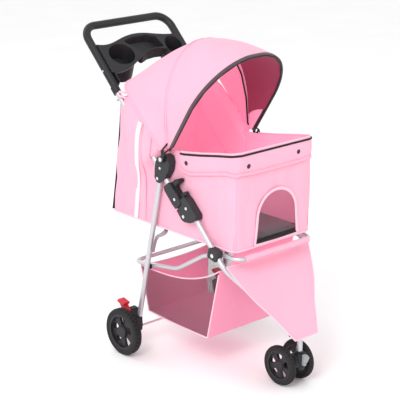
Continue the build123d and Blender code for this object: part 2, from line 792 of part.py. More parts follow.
def floor_pad():
    y_low, y_high = -250.0, 258.0
    z = cabin_bottom + fabric + 2.2 + 4.0
    pad = Pos(0, (y_low + y_high) / 2, z + pad_height / 2)
    pad = pad * Box(2 * floor_half_width, y_high - y_low, pad_height)
    pad = fillet(pad.edges().filter_by(Axis.Z), 22)
    return fillet(pad.edges().group_by(Axis.Z)[-1], 6)


def flap_band():
    """Rolled-down front flap: a band hanging outside the rim round the front of the cabin."""
    w = cabin_half_width + soft_gap
    profile = [(cabin_front_y - 4, rim_front_z - 2), (-45.0, 657.0), (-45.0, 606.0),
               (-80.0, 600.0), (cabin_front_y - 4, 630.0)]
    band = side_plate(profile, -w - 3.0, w + 3.0)
    band = fillet(band.edges().filter_by(Axis.Z).group_by(Axis.Y)[0], 26.0)
    inner = [(cabin_front_y - soft_gap, 900), (0, 900), (0, 500), (cabin_front_y - soft_gap, 500)]
    core = side_plate(inner, -w, w)
    core = fillet(core.edges().filter_by(Axis.Z).group_by(Axis.Y)[0], 22.4)
    return band - core


# --- basket and front panel -----------------------------------------------------
basket_profile = [(-196.0, 338.0), (-146.0, 112.0), (146.0, 104.0), (162.0, 258.0),
                  (118.0, 256.0), (-4.0, 272.0)]


def basket():
    """Storage basket: sagging rim, open top and open upper sides."""
    w = basket_half_width
    outer = side_plate(basket_profile, -w, w)
    hollow_profile = [(-190.0, 500.0), (-190.0, 325.0), (-143.4, 115.0), (143.4, 107.0),
                      (158.8, 255.0), (159.0, 500.0)]
    return outer - side_plate(hollow_profile, -w + fabric, w - fabric)


panel_top, panel_foot = (-248.0, 366.0), (-404.0, 160.0)
panel_thickness = 3.0


def front_panel():
    """Fabric panel stretched over the front legs, from below the cabin down to the crown."""
    profile = [panel_top, panel_foot, (panel_foot[0] - 1.5, panel_foot[1] + panel_thickness),
               (panel_top[0] - 1.5, panel_top[1] + panel_thickness)]
    sheet = side_plate(profile, -200, 200)
    outline = make_face(Polyline((-168, 372), (168, 372), (44, 154), (-44, 154), close=True))
    return sheet & extrude(Plane.XZ.offset(0) * outline, 600)


# --- write ----------------------------------------------------------------------
def write_pair(left, name):
    """Writes the left piece and its mirror image."""
    write(left, f"{name}_left")
    write(mirror(left, about=Plane.YZ), f"{name}_right")


def write_pairs():
    pairs = dict(
        front_leg=front_leg, latch_lower=latch_lower, rear_leg=rear_leg,
        rear_carrier=rear_carrier, brake_pedal=brake_pedal, link_rail=link_rail,
        handle_tube=handle_tube, latch_upper=latch_upper, latch_hook=latch_hook)
    for name, make in pairs.items():
        write_pair(make(SIDES["left"]), name)


def write_wheels():
    front = ((caster_hub_y, front_wheel_radius), front_wheel_centre_x, front_wheel_radius,
             front_wheel_width)
    rear = (rear_axle, rear_wheel_centre_x, rear_wheel_radius, rear_wheel_width)
    write_pair(tyre(*rear, 34), "rear_tyre")
    write_pair(wheel_hub(*rear, rear_rod_radius + fit_gap), "rear_hub")
    write_pair(tyre(*front, 30), "front_tyre")
    write_pair(wheel_hub(*front, front_rod_radius + fit_gap), "front_hub")


def write_singles():
    singles = dict(
        fork_crown=fork_crown, stem_tube=stem_tube, stem_bush=stem_bush,
        latch_rivets=latch_rivets, link_brackets=link_brackets, link_front_pins=link_front_pins,
        caster_housing=caster_housing, caster_kingpin=caster_kingpin, swivel_lock=swivel_lock,
        front_axle=front_axle, pedal_pins=pedal_pins, rear_axle_rod=rear_axle_rod,
        link_spacers=link_spacers, handle_brackets=handle_brackets, handle_rivets=handle_rivets,
        handle_grip=handle_grip, cup_tray=cup_tray, handle_collars=handle_collars,
        tray_screws=tray_screws, canopy_cover=canopy_cover, canopy_pivot_pins=canopy_pivot_pins,
        cabin_shell=cabin_shell, window_mesh=window_mesh, rear_mesh=rear_mesh,
        floor_board=floor_board, floor_pad=floor_pad, flap_band=flap_band,
        basket=basket, front_panel=front_panel)
    for name, make in singles.items():
        write(make(), name)
    write(link_cross(link_front_pivot, rail_front, front_overhang), "link_front_cross")
    write(link_cross(rail_low, rail_rear, rear_overhang), "link_rear_cross")
    write(canopy_bow(arches["front"], front_hub_low), "canopy_front_bow")
    write(canopy_bow(arches["middle"], middle_hub_low), "canopy_middle_bow")


os.makedirs("parts", exist_ok=True)
write_pairs()
write_wheels()
write_singles()
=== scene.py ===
import json
import math

import bpy
import numpy as np
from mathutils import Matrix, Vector, noise


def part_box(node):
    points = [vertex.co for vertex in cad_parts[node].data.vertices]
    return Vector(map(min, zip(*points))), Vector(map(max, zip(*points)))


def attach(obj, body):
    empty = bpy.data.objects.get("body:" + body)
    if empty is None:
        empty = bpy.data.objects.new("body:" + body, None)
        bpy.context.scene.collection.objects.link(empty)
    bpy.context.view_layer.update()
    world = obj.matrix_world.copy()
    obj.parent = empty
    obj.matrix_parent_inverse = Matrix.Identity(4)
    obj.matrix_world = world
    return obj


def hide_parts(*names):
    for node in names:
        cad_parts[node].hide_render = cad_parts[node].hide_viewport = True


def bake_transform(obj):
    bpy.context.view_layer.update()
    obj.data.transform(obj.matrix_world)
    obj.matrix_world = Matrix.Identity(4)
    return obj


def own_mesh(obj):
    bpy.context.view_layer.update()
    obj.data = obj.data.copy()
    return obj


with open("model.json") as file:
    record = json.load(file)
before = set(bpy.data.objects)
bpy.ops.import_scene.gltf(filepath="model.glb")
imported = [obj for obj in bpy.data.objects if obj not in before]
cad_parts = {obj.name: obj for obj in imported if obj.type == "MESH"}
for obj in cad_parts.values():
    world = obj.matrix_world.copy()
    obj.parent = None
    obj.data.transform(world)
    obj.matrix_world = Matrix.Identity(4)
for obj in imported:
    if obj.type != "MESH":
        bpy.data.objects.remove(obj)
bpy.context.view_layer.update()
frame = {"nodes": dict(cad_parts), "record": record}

# Lengths below are millimetres in the shared frame; MM turns them into metres.
MM = 0.001


# --- mesh helpers --------------------------------------------------------------
def new_mesh(name, verts, faces, uvs=None, smooth=True):
    """Mesh object from points in millimetres; uvs has one pair for each face corner."""
    mesh = bpy.data.meshes.new(name)
    mesh.from_pydata([tuple(v) for v in np.asarray(verts, float) * MM], [], faces)
    if uvs is not None:
        layer = mesh.uv_layers.new(name="UVMap")
        layer.data.foreach_set("uv", np.asarray(uvs, float).ravel())
    mesh.update()
    if smooth:
        mesh.shade_smooth()
    obj = bpy.data.objects.new(name, mesh)
    bpy.context.scene.collection.objects.link(obj)
    return obj


def baked(obj, angle=50.0):
    """Applies the modifiers, and keeps edges sharper than angle crisp."""
    graph = bpy.context.evaluated_depsgraph_get()
    mesh = bpy.data.meshes.new_from_object(obj.evaluated_get(graph))
    obj.modifiers.clear()
    old = obj.data
    obj.data = mesh
    bpy.data.meshes.remove(old)
    mesh.shade_smooth()
    mesh.set_sharp_from_angle(angle=math.radians(angle))
    return obj


def unit(v):
    """The same vectors at length 1."""
    return v / np.maximum(np.linalg.norm(v, axis=-1, keepdims=True), 1e-9)


def grid_normals(a, closed=False):
    du = np.roll(a, -1, 1) - np.roll(a, 1, 1) if closed else np.gradient(a, axis=1)
    dv = np.gradient(a, axis=0)
    return unit(np.cross(du, dv))


def wrinkled(a, amount, size, stretch=(1, 1, 1), seed=0.0, closed=False, weight=None):
    """Moves a grid of points along its normals by smooth noise of about that size."""
    n = grid_normals(a, closed)
    k = np.asarray(stretch, float) / size
    field = np.zeros(a.shape[:2])
    for i, row in enumerate(a):
        for j, p in enumerate(row):
            q = Vector((p[0] * k[0] + seed, p[1] * k[1], p[2] * k[2]))
            field[i, j] = noise.noise(q) + 0.4 * noise.noise(q * 2.3)
    if weight is not None:
        field *= weight
    return a + n * field[..., None] * amount


def quads(rows, cols, across, closed=False, start=0):
    """Faces between rows of cols points: across of them in each row, back to row 0 if closed."""
    faces = []
    for i in range(rows if closed else rows - 1):
        a, b = start + i * cols, start + (i + 1) % rows * cols
        for j in range(across):
            k = (j + 1) % cols
            faces.append((a + j, a + k, b + k, b + j))
    return faces


def end_caps(first, last, sides):
    """Faces that close the two ends of a ring of points."""
    return [tuple(first + j for j in reversed(range(sides))),
            tuple(last + j for j in range(sides))]


def quad_uvs(u, v, rows, across):
    return [(u[j + dj], v[i + di]) for i in range(rows) for j in range(across)
            for dj, di in ((0, 0), (1, 0), (1, 1), (0, 1))]


def lengths(steps):
    """Running length, in metres, along steps in millimetres."""
    return np.concatenate([[0], np.cumsum(steps)]) * MM


def grid(name, a, thickness=0.0, closed=False, lined=()):
    """Sheet through rows of points; its outer face follows across x along.
    lined gives the materials of the outer and the inner face, where they differ."""
    a = np.asarray(a, float)
    rows, cols = a.shape[:2]
    steps = cols if closed else cols - 1
    u = lengths(np.linalg.norm(np.roll(a, -1, 1) - a, axis=2).mean(0))
    v = lengths(np.linalg.norm(np.diff(a, axis=0), axis=2).mean(1))
    obj = new_mesh(name, a.reshape(-1, 3), quads(rows, cols, steps),
                   quad_uvs(u, v, rows - 1, steps))
    for material in lined:
        obj.data.materials.append(material)
    if not thickness:
        return obj
    solid = obj.modifiers.new("thickness", "SOLIDIFY")
    solid.thickness = thickness * MM
    solid.offset = -1.0
    solid.material_offset = 1 if lined else 0
    return baked(obj)


def smooth_path(points, step):
    """Points evenly spaced along a smooth line through the given ones."""
    p = np.asarray(points, float)
    out = []
    for i in range(len(p) - 1):
        p0, p1, p2, p3 = p[[max(i - 1, 0), i, i + 1, min(i + 2, len(p) - 1)]]
        for t in np.linspace(0, 1, 12, endpoint=False):
            out.append(0.5 * (2 * p1 + (p2 - p0) * t + (2 * p0 - 5 * p1 + 4 * p2 - p3) * t ** 2
                              + (3 * p1 - p0 - 3 * p2 + p3) * t ** 3))
    return even(out + [p[-1]], step)


def even(points, step):
    """Points evenly spaced along the straight runs through the given ones."""
    p = np.asarray(points, float)
    d = np.concatenate([[0], np.cumsum(np.linalg.norm(np.diff(p, axis=0), axis=1))])
    count = max(int(round(d[-1] / step)), 2) + 1
    s = np.linspace(0, d[-1], count)
    return np.stack([np.interp(s, d, p[:, k]) for k in range(3)], 1)


def tangents(p, closed):
    return unit(np.roll(p, -1, 0) - np.roll(p, 1, 0) if closed else np.gradient(p, axis=0))


def sweep(name, path, section, normals, closed=False):
    """Section (side, up) swept along a path, with up along the normals."""
    p = np.asarray(path, float)
    t = tangents(p, closed)
    n = np.broadcast_to(np.asarray(normals, float), p.shape)
    n = unit(n - t * (n * t).sum(1)[:, None])
    side = np.cross(t, n)
    section = np.asarray(section, float)
    m = len(section)
    verts = np.concatenate([p[i] + np.outer(section[:, 0], side[i]) + np.outer(section[:, 1], n[i])
                            for i in range(len(p))])
    d = lengths(np.linalg.norm(np.diff(p, axis=0), axis=1))
    d = np.append(d, d[-1] + d[1])
    w = lengths(np.linalg.norm(np.roll(section, -1, 0) - section, axis=1))
    faces = quads(len(p), m, m, closed)
    uvs = quad_uvs(w, d, len(p) if closed else len(p) - 1, m)
    if not closed:
        faces += end_caps(0, (len(p) - 1) * m, m)
        flat = [tuple(point * MM) for point in section]
        uvs += flat[::-1] + flat
    obj = new_mesh(name, verts, faces, uvs)
    obj.data.set_sharp_from_angle(angle=math.radians(50))
    return obj


def round_section(radius, sides=10):
    a = np.linspace(0, 2 * math.pi, sides, endpoint=False)
    return np.stack([radius * np.cos(a), radius * np.sin(a)], 1)


def flat_section(width, thickness, lift=0.0):
    """Flat strip with rounded long edges; lift raises it above the path."""
    w, r = width / 2, thickness / 2
    a = np.linspace(-math.pi / 2, math.pi / 2, 5)
    right = np.stack([w - r + r * np.cos(a), r * np.sin(a)], 1)
    left = -right
    return np.concatenate([right, left]) + [0, lift + r]


def tube(name, path, radius, closed=False, sides=10):
    p = np.asarray(path, float)
    t = tangents(p, closed)
    n = [np.cross(t[0], [0.31, 0.17, 0.93])]
    for i in range(1, len(p)):
        n.append(n[-1] - t[i] * (n[-1] @ t[i]))
        n[-1] /= np.linalg.norm(n[-1])
    return sweep(name, p, round_section(radius, sides), n, closed)


def ribbon(name, path, normals, width, thickness, lift=0.0, closed=False):
    return sweep(name, path, flat_section(width, thickness, lift), normals, closed)


def lathe(name, centre, axis, profile, sides=24):
    """Turned shape: profile is (radius, height) pairs along the axis."""
    axis = np.asarray(axis, float) / np.linalg.norm(axis)
    u = np.cross(axis, [0.2, 0.9, 0.37])
    u /= np.linalg.norm(u)
    w = np.cross(axis, u)
    a = np.linspace(0, 2 * math.pi, sides, endpoint=False)
    ring = np.cos(a)[:, None] * u + np.sin(a)[:, None] * w
    verts = np.concatenate([np.asarray(centre) + r * ring + h * axis for r, h in profile])
    faces = quads(len(profile), sides, sides) + end_caps(0, (len(profile) - 1) * sides, sides)
    obj = new_mesh(name, verts, faces)
    obj.data.set_sharp_from_angle(angle=math.radians(40))
    return obj


def places(mesh):
    """The mesh's points, in metres."""
    co = np.zeros(len(mesh.vertices) * 3)
    mesh.vertices.foreach_get("co", co)
    return co.reshape(-1, 3)


def join(name, objs):
    """One object out of several, as one mesh."""
    verts, faces, uvs, start = [], [], [], 0
    for obj in objs:
        mesh = obj.data
        verts.append(places(mesh) / MM)
        faces += [tuple(start + i for i in f.vertices) for f in mesh.polygons]
        uv = np.zeros(len(mesh.loops) * 2)
        if mesh.uv_layers:
            mesh.uv_layers[0].data.foreach_get("uv", uv)
        uvs.append(uv.reshape(-1, 2))
        start += len(mesh.vertices)
        bpy.data.objects.remove(obj)
    out = new_mesh(name, np.concatenate(verts), faces, np.concatenate(uvs))
    out.data.set_sharp_from_angle(angle=math.radians(50))
    return out


def spread(normals, count):
    """One normal, or a row of them, given for count points."""
    n = np.asarray(normals, float)
    if n.ndim == 1:
        return np.broadcast_to(n, (count, 3))
    old, new = np.linspace(0, 1, len(n)), np.linspace(0, 1, count)
    return np.stack([np.interp(new, old, n[:, k]) for k in range(3)], 1)


def stitches(name, path, normals, lift=0.1):
    """Row of short thread capsules lying on a surface along a path, as one mesh."""
    length, gap, radius, sides = 3.0, 1.6, 0.4, 6
    p = even(path, (length + gap) / 2)
    n = spread(normals, len(p))
    verts, faces = [], []
    rings = [(0.0, 0.35), (0.18, 1.0), (0.82, 1.0), (1.0, 0.35)]
    angles = np.linspace(0, 2 * math.pi, sides, endpoint=False)
    for i in range(0, len(p) - 1, 2):
        t = p[i + 1] - p[i]
        t = t / max(np.linalg.norm(t), 1e-9)
        up = n[i] / np.linalg.norm(n[i])
        side = np.cross(t, up)
        start = len(verts)
        for f, r in rings:
            c = p[i] + t * length * f + up * (lift + radius * 0.4)
            for a in angles:
                verts.append(c + radius * r * (side * math.cos(a) + 0.7 * up * math.sin(a)))
        faces += quads(len(rings), sides, sides, start=start)
        faces += end_caps(start, start + (len(rings) - 1) * sides, sides)
    return new_mesh(name, verts, faces)


TOOTH_FACES = ((0, 3, 2, 1), (4, 5, 6, 7), (0, 1, 5, 4), (1, 2, 6, 5), (2, 3, 7, 6),
               (3, 0, 4, 7))


def zip_teeth(name, path, normals):
    """Two rows of small interlocking teeth along a path."""
    p = even(path, 3.0)
    t = tangents(p, False)
    n = spread(normals, len(p))
    verts, faces = [], []
    for i in range(len(p)):
        side = np.cross(t[i], n[i])
        c = p[i] + side * (0.7 if i % 2 else -0.7) + n[i] * 1.1
        for dx in (-0.55, 0.55):
            for dy, dz in ((-1.1, -0.5), (1.1, -0.5), (0.8, 0.5), (-0.8, 0.5)):
                verts.append(c + t[i] * dx * 1.6 + side * dy + n[i] * dz)
        faces += [tuple(i * 8 + k for k in corners) for corners in TOOTH_FACES]
    return new_mesh(name, verts, faces, smooth=False)


# --- materials -------------------------------------------------------------------
SOCKETS = dict(
    rough="Roughness", sheen="Sheen Weight", sheen_rough="Sheen Roughness", metallic="Metallic",
    specular="Specular IOR Level", glow_colour="Emission Color", glow="Emission Strength",
    alpha="Alpha",
)


def node(tree, kind, props=None, inputs=None):
    item = tree.nodes.new(kind)
    for key, value in (props or {}).items():
        setattr(item, key, value)
    for key, value in (inputs or {}).items():
        if isinstance(value, bpy.types.NodeSocket):
            tree.links.new(value, item.inputs[key])
        else:
            item.inputs[key].default_value = value
    return item


def start_material(name):
    material = bpy.data.materials.new(name)
    material.use_nodes = True
    tree = material.node_tree
    coord = node(tree, "ShaderNodeTexCoord")
    return material, tree, tree.nodes["Principled BSDF"], coord


def math_node(tree, operation, a, b=0.0):
    return node(tree, "ShaderNodeMath", {"operation": operation}, {0: a, 1: b}).outputs[0]


def shade(colour, factor):
    return tuple(min(c * factor, 1.0) for c in colour[:3]) + (1.0,)


def weighted(tree, *terms):
    """Sum of (value, weight) pairs."""
    total = None
    for value, weight in terms:
        value = value if weight == 1 else math_node(tree, "MULTIPLY", value, weight)
        total = value if total is None else math_node(tree, "ADD", total, value)
    return total


def noise_of(tree, place, scale, detail=2.0, rough=0.5):
    return node(tree, "ShaderNodeTexNoise", None,
                {"Vector": place, "Scale": scale, "Detail": detail,
                 "Roughness": rough}).outputs["Fac"]


def map_range(tree, value, start, end, low=0.0, high=1.0):
    return node(tree, "ShaderNodeMapRange", None,
                {"Value": value, "From Min": start, "From Max": end,
                 "To Min": low, "To Max": high}).outputs[0]


def colour_between(tree, factor, low, high):
    """Ramp from one colour to another, over a 0 to 1 factor."""
    ramp = node(tree, "ShaderNodeValToRGB", None, {"Fac": factor})
    for element, colour, position in zip(ramp.color_ramp.elements, (low, high), (0.25, 0.75)):
        element.color, element.position = colour, position
    return ramp.outputs["Color"]


def paint(made, factor, colour, shades, height, bump, depth, **settings):
    """Joins up a material: its colour between two shades, its relief, and plain settings."""
    material, tree, shader, _ = made
    low, high = shades
    tree.links.new(colour_between(tree, factor, shade(colour, low), shade(colour, high)),
                   shader.inputs["Base Color"])
    relief = node(tree, "ShaderNodeBump", None,
                  {"Strength": bump, "Distance": depth, "Height": height})
    tree.links.new(relief.outputs["Normal"], shader.inputs["Normal"])
    for key, value in settings.items():
        socket = shader.inputs[SOCKETS[key]]
        if isinstance(value, bpy.types.NodeSocket):
            tree.links.new(value, socket)
        else:
            socket.default_value = value
    return material


def woven(name, colour, pitch=0.0011, sheen=0.25, bump=0.35, through=0.0):
    """Plain-weave cloth: crossing threads, slubs and a soft change of colour; through adds a
    painted pink glow.
    """
    made = start_material(name)
    tree, place = made[1], made[3].outputs["Object"]
    bands = [node(tree, "ShaderNodeTexWave", {"bands_direction": d},
                  {"Vector": place, "Scale": 0.314 / pitch, "Distortion": 0.6,
                   "Detail": 1.0}).outputs["Fac"] for d in "XYZ"]
    weave = weighted(tree, *[(band, 1) for band in bands])
    weave = math_node(tree, "MULTIPLY", weave, 0.33)
    slub = noise_of(tree, place, 420.0, 3.0)
    patch = noise_of(tree, place, 9.0, 4.0)
    mix = weighted(tree, (patch, 0.55), (slub, 0.30), (weave, 0.15))
    return paint(made, mix, colour, (0.95, 1.05), weighted(tree, (weave, 1), (slub, 0.5)),
                 bump, 0.0004, rough=0.85, sheen=sheen, sheen_rough=0.45, specular=0.25,
                 glow_colour=(1.0, 0.34, 0.52, 1), glow=through)


def plush(name, colour):
    """Short pile: soft clumps with a strong sheen."""
    made = start_material(name)
    tree, place = made[1], made[3].outputs["Object"]
    pile = noise_of(tree, place, 650.0, 4.0)
    clump = node(tree, "ShaderNodeTexVoronoi", None,
                 {"Vector": place, "Scale": 160.0}).outputs["Distance"]
    mix = weighted(tree, (pile, 0.6), (clump, 0.5))
    return paint(made, mix, colour, (0.8, 1.15), mix, 0.8, 0.0015, rough=0.95, sheen=0.5,
                 specular=0.1)


NET_PITCH = 0.0020


def net(name, colour, hole):
    """Knitted mesh: a regular field of holes between soft threads, on the piece's UVs."""
    made = start_material(name)
    tree, coord = made[1], made[3]
    turned = node(tree, "ShaderNodeMapping", None, {"Vector": coord.outputs["UV"],
                                                    "Rotation": (0, 0, math.radians(45))})
    cell = node(tree, "ShaderNodeTexVoronoi", {"voronoi_dimensions": "2D"},
                {"Vector": turned.outputs["Vector"], "Scale": 1 / NET_PITCH,
                 "Randomness": 0.0}).outputs["Distance"]
    slub = noise_of(tree, coord.outputs["Object"], 90.0, 3.0)
    return paint(made, slub, colour, (0.8, 1.2), cell, 0.5, 0.0003, rough=0.7, sheen=0.15,
                 alpha=map_range(tree, cell, hole - 0.05, hole + 0.05))


def moulded(name, colour, roughness=0.5, grain=1500.0, bump=0.15, specular=0.35):
    """Moulded plastic or rubber: fine grain, faint scuffs and an uneven gloss."""
    made = start_material(name)
    tree, place = made[1], made[3].outputs["Object"]
    fine = noise_of(tree, place, grain)
    scuff = noise_of(tree, place, 38.0, 6.0, 0.7)
    gloss = map_range(tree, scuff, 0.3, 0.7, roughness - 0.09, roughness + 0.1)
    return paint(made, scuff, colour, (0.82, 1.25), fine, bump, 0.0002, rough=gloss,
                 specular=specular)


def metal(name, colour, roughness, metallic):
    """Painted or plated tube: fine drawn lines, specks and slight handling marks."""
    made = start_material(name)
    tree, place = made[1], made[3].outputs["Object"]
    marks = noise_of(tree, place, 60.0, 6.0, 0.65)
    specks = noise_of(tree, place, 1900.0, 1.0)
    gloss = map_range(tree, marks, 0.3, 0.7, roughness - 0.06, roughness + 0.08)
    return paint(made, weighted(tree, (marks, 0.6), (specks, 0.4)), colour, (0.92, 1.06), specks,
                 0.05, 0.0001, rough=gloss, metallic=metallic)


pink = woven("pink_cloth", (0.87, 0.415, 0.535, 1), sheen=0.15)
# The inner face of the outer cloth is painted a lighter pink with a glow, standing in for the
# daylight that comes through it.
pink_inside = woven("pink_cloth_inside", (0.92, 0.44, 0.59, 1), sheen=0.1, through=0.30)
# Deeper pink with a weak glow: the deeper pink is painted shade, for cloth under the cabin and in
# the basket, and the glow is painted light.
pink_deep = woven("pink_cloth_painted_shade", (0.86, 0.32, 0.465, 1), sheen=0.15, through=0.10)
pink_light = woven("pink_binding", (0.88, 0.54, 0.65, 1), pitch=0.0009, bump=0.5)
hem_pink = woven("hem_cloth", (0.87, 0.40, 0.52, 1), pitch=0.0009, bump=0.5)
pale_band = woven("pale_webbing", (0.90, 0.72, 0.78, 1), pitch=0.0016, bump=0.6)
grey_binding = woven("grey_binding", (0.085, 0.058, 0.070, 1), pitch=0.0010, bump=0.6)
black_tape = woven("black_tape", (0.018, 0.017, 0.019, 1), pitch=0.0009, bump=0.5, sheen=0.1)
thread = woven("thread", (0.90, 0.50, 0.66, 1), pitch=0.0005, bump=0.5)
mauve = woven("mauve_lining", (0.40, 0.075, 0.15, 1), pitch=0.0015, bump=0.6)
grey_web = woven("grey_webbing", (0.34, 0.28, 0.32, 1), pitch=0.0012, bump=0.7)
pad_cloth = plush("grey_plush", (0.20, 0.195, 0.20, 1))
window_net = net("window_net", (0.03, 0.025, 0.03, 1), hole=0.50)
basket_net = net("basket_net", (0.07, 0.025, 0.042, 1), hole=0.455)
rear_net = net("rear_net", (0.16, 0.12, 0.14, 1), hole=0.46)
snap_black = moulded("snap_black", (0.02, 0.02, 0.022, 1), roughness=0.35)
zip_black = moulded("zip_black", (0.018, 0.018, 0.02, 1), roughness=0.4)
finishes = dict(
    silver=metal("silver_tube", (0.60, 0.60, 0.63, 1), roughness=0.38, metallic=0.7),
    steel=metal("bright_steel", (0.75, 0.75, 0.76, 1), roughness=0.25, metallic=1.0),
    dark_plastic=moulded("charcoal_plastic", (0.026, 0.027, 0.030, 1), roughness=0.5),
    black_plastic=moulded("black_plastic", (0.014, 0.014, 0.016, 1), roughness=0.45),
    grey_plastic=moulded("grey_plastic", (0.30, 0.31, 0.33, 1), roughness=0.5),
    hub=moulded("wheel_plastic", (0.017, 0.0165, 0.019, 1), roughness=0.48),
    tyre=moulded("tyre_rubber", (0.016, 0.0155, 0.017, 1), roughness=0.72, grain=700.0,
                 bump=0.4, specular=0.3),
    red_plastic=moulded("red_plastic", (0.56, 0.022, 0.035, 1), roughness=0.38),
    board=woven("board_cloth", (0.03, 0.03, 0.03, 1)),
    pad=pad_cloth,
    pink_fabric=pink,
    mesh=window_net,
)
for part in frame["record"]["subparts"]:
    target = frame["nodes"][part["node"]]
    finish = finishes["black_plastic" if "bow" in target.name else part["material_slot"]]
    if not target.material_slots:
        target.data.materials.append(finish)
    for place in target.material_slots:
        place.material = finish


def dress(obj, material):
    """Gives a new piece its material, unless it already has two."""
    if len(obj.data.materials) < 2:
        obj.data.materials.clear()
        obj.data.materials.append(material)
    return obj


def trim(ride, obj, material):
    """Dresses a small piece and gives it to ride, which makes it move with the rest."""
    ride(dress(obj, material))


# --- cabin ---------------------------------------------------------------------
CABIN_HALF, CABIN_FRONT, CABIN_BOTTOM = 152.0, -267.0, 404.0
CABIN_LENGTH = 510.0
RIM = np.array([(-267, 694), (-200, 683), (-130, 670), (-60, 659), (-15, 657), (12, 662),
                (44, 692), (80, 728), (135, 772), (170, 786), (212, 772)], float)
RIM_REAR, FLOOR_REAR = 212, 274      # y of the rear wall at its top and at the floor


def rear_y(z):
    """The rear wall leans forward as it rises."""
    return 274.0 - (z - 406.0) * 62.0 / 362.0


def rim_z(y):
    return np.interp(y, RIM[:, 0], RIM[:, 1])


def plan():
    """Outline of the cabin from above: x, distance from the front, and outward normal."""
    w, r, q, length = CABIN_HALF, 22.0, 12.0, CABIN_LENGTH
    half = [(x, 0.0, 0, -1) for x in np.linspace(0, w - r, 16)]
    for a in np.radians(np.linspace(0, 90, 7)[1:]):
        half.append((w - r + r * math.sin(a), r - r * math.cos(a), math.sin(a), -math.cos(a)))
    half += [(w, s, 1, 0) for s in np.linspace(r, length - q, 62)[1:]]
    for a in np.radians(np.linspace(0, 90, 5)[1:]):
        half.append((w - q + q * math.cos(a), length - q + q * math.sin(a),
                     math.cos(a), math.sin(a)))
    half += [(x, length, 0, 1) for x in np.linspace(w - q, 0, 16)[1:]]
    other = [(-x, s, -nx, ny) for x, s, nx, ny in reversed(half[1:-1])]
    return np.array(half + other)


PLAN = plan()


def ease(t):
    t = min(max(t, 0.0), 1.0)
    return t * t * (3 - 2 * t)


HANDLE_TURN = math.radians(45.3)
FOLD_PIVOT = (-83.0, 480.0)


def over_tube(y, z):
    """The rear of each side wall is drawn out over the handle tube and hangs from it."""
    dy, dz = y - FOLD_PIVOT[0], z - FOLD_PIVOT[1]
    along = dy * math.cos(HANDLE_TURN) + dz * math.sin(HANDLE_TURN)
    below = dy * math.sin(HANDLE_TURN) - dz * math.cos(HANDLE_TURN)
    out = np.interp(below, [-62, -48, -30, -9, 9, 30, 80, 200],
                    [19, 20.5, 23, 26.8, 26.8, 24.5, 15, 0])
    leg_y = 30.0 + (569.0 - z) * 0.225
    mask = max(ease((y - leg_y - 14) / 45), ease((z - 600) / 25)) if y > leg_y else 0.0
    slack = max(below - 20, 0)
    start = ease((along - 190 + 0.4 * slack) / (16 + 0.9 * slack))
    return out * start * mask * (1 - 0.68 * ease((y - 168) / 42))


def cabin_bulge(x, y, nx, ny, h, z):
    """How far the cloth stands out: least beside the latch, most in open panels."""
    belly = math.sin(math.pi * min(max(h, 0), 1)) ** 0.8
    if abs(nx) > 0.7:
        near_latch = math.exp(-((y + 70) / 95) ** 2)
        out = belly * (4.5 - 3.6 * near_latch)
        pleat = ease((y - 165) / 40)
        out += pleat * belly * 3.0 * math.sin(y / 4.6 + 0.6 * math.sin(z / 60))
        return out + over_tube(y, z)
    if ny < -0.7:
        return 2.0 * belly * (1 - (x / CABIN_HALF) ** 2)
    if ny > 0.7:
        return 3.0 * belly * (1 - (x / CABIN_HALF) ** 2)
    return 0.0


def wall_span(f):
    """Bottom and top of the wall, at that share of the way from the front to the rear."""
    return CABIN_BOTTOM + 8 + 2 * f, rim_z(CABIN_FRONT + f * (RIM_REAR - CABIN_FRONT))


def cabin_point(s, h):
    """Point on the cabin wall: s is a row of the plan and h runs from the floor to the rim."""
    x, along, nx, ny = s
    f = along / CABIN_LENGTH
    z_low, z_top = wall_span(f)
    z = z_low + h * (z_top - z_low)
    y = CABIN_FRONT + f * (rear_y(z) - CABIN_FRONT)
    out = cabin_bulge(x, y, nx, ny, h, z)
    if ny > 0.001:
        spread = over_tube(y - (1 - abs(nx)) * 4, z) * (1 - abs(nx))
        if abs(nx) <= 0.7:
            spread = over_tube(y - 6, z)
        x *= 1 + spread / CABIN_HALF
    return np.array([x + nx * out, y + ny * out, z])


def arch_outline(half, sill, spring, top, flare=8.0, centre=8.0, count=14):
    """Arched window outline, as (x, z), from the left foot over the top and along the sill."""
    left = [(-half - flare, sill), (-half - flare * 0.45, (sill + spring) / 2), (-half, spring)]
    a = np.linspace(math.pi, 0, 2 * count + 1)[1:-1]
    curve = [(half * math.cos(t), spring + (top - spring) * math.sin(t) ** 0.92) for t in a]
    right = [(-x, z) for x, z in reversed(left)]
    sill_line = [(x, sill) for x in np.linspace(half + flare, -half - flare, 9)[1:-1]]
    return np.array([(x + centre, z) for x, z in left + curve + right + sill_line])


def cut(obj, outline, y_low, y_high):
    """Cuts a hole of that front-view outline between two Y planes."""
    n = len(outline)
    verts = [(x, y_low, z) for x, z in outline] + [(x, y_high, z) for x, z in outline]
    faces = [tuple(range(n)), tuple(reversed(range(n, 2 * n)))]
    faces += [(i, i + n, (i + 1) % n + n, (i + 1) % n) for i in range(n)]
    tool = new_mesh("cutter", verts, faces, smooth=False)
    tool.data.flip_normals()
    mod = obj.modifiers.new("hole", "BOOLEAN")
    mod.operation, mod.solver, mod.object = "DIFFERENCE", "EXACT", tool
    baked(obj, 35)
    bpy.data.objects.remove(tool)
    return obj


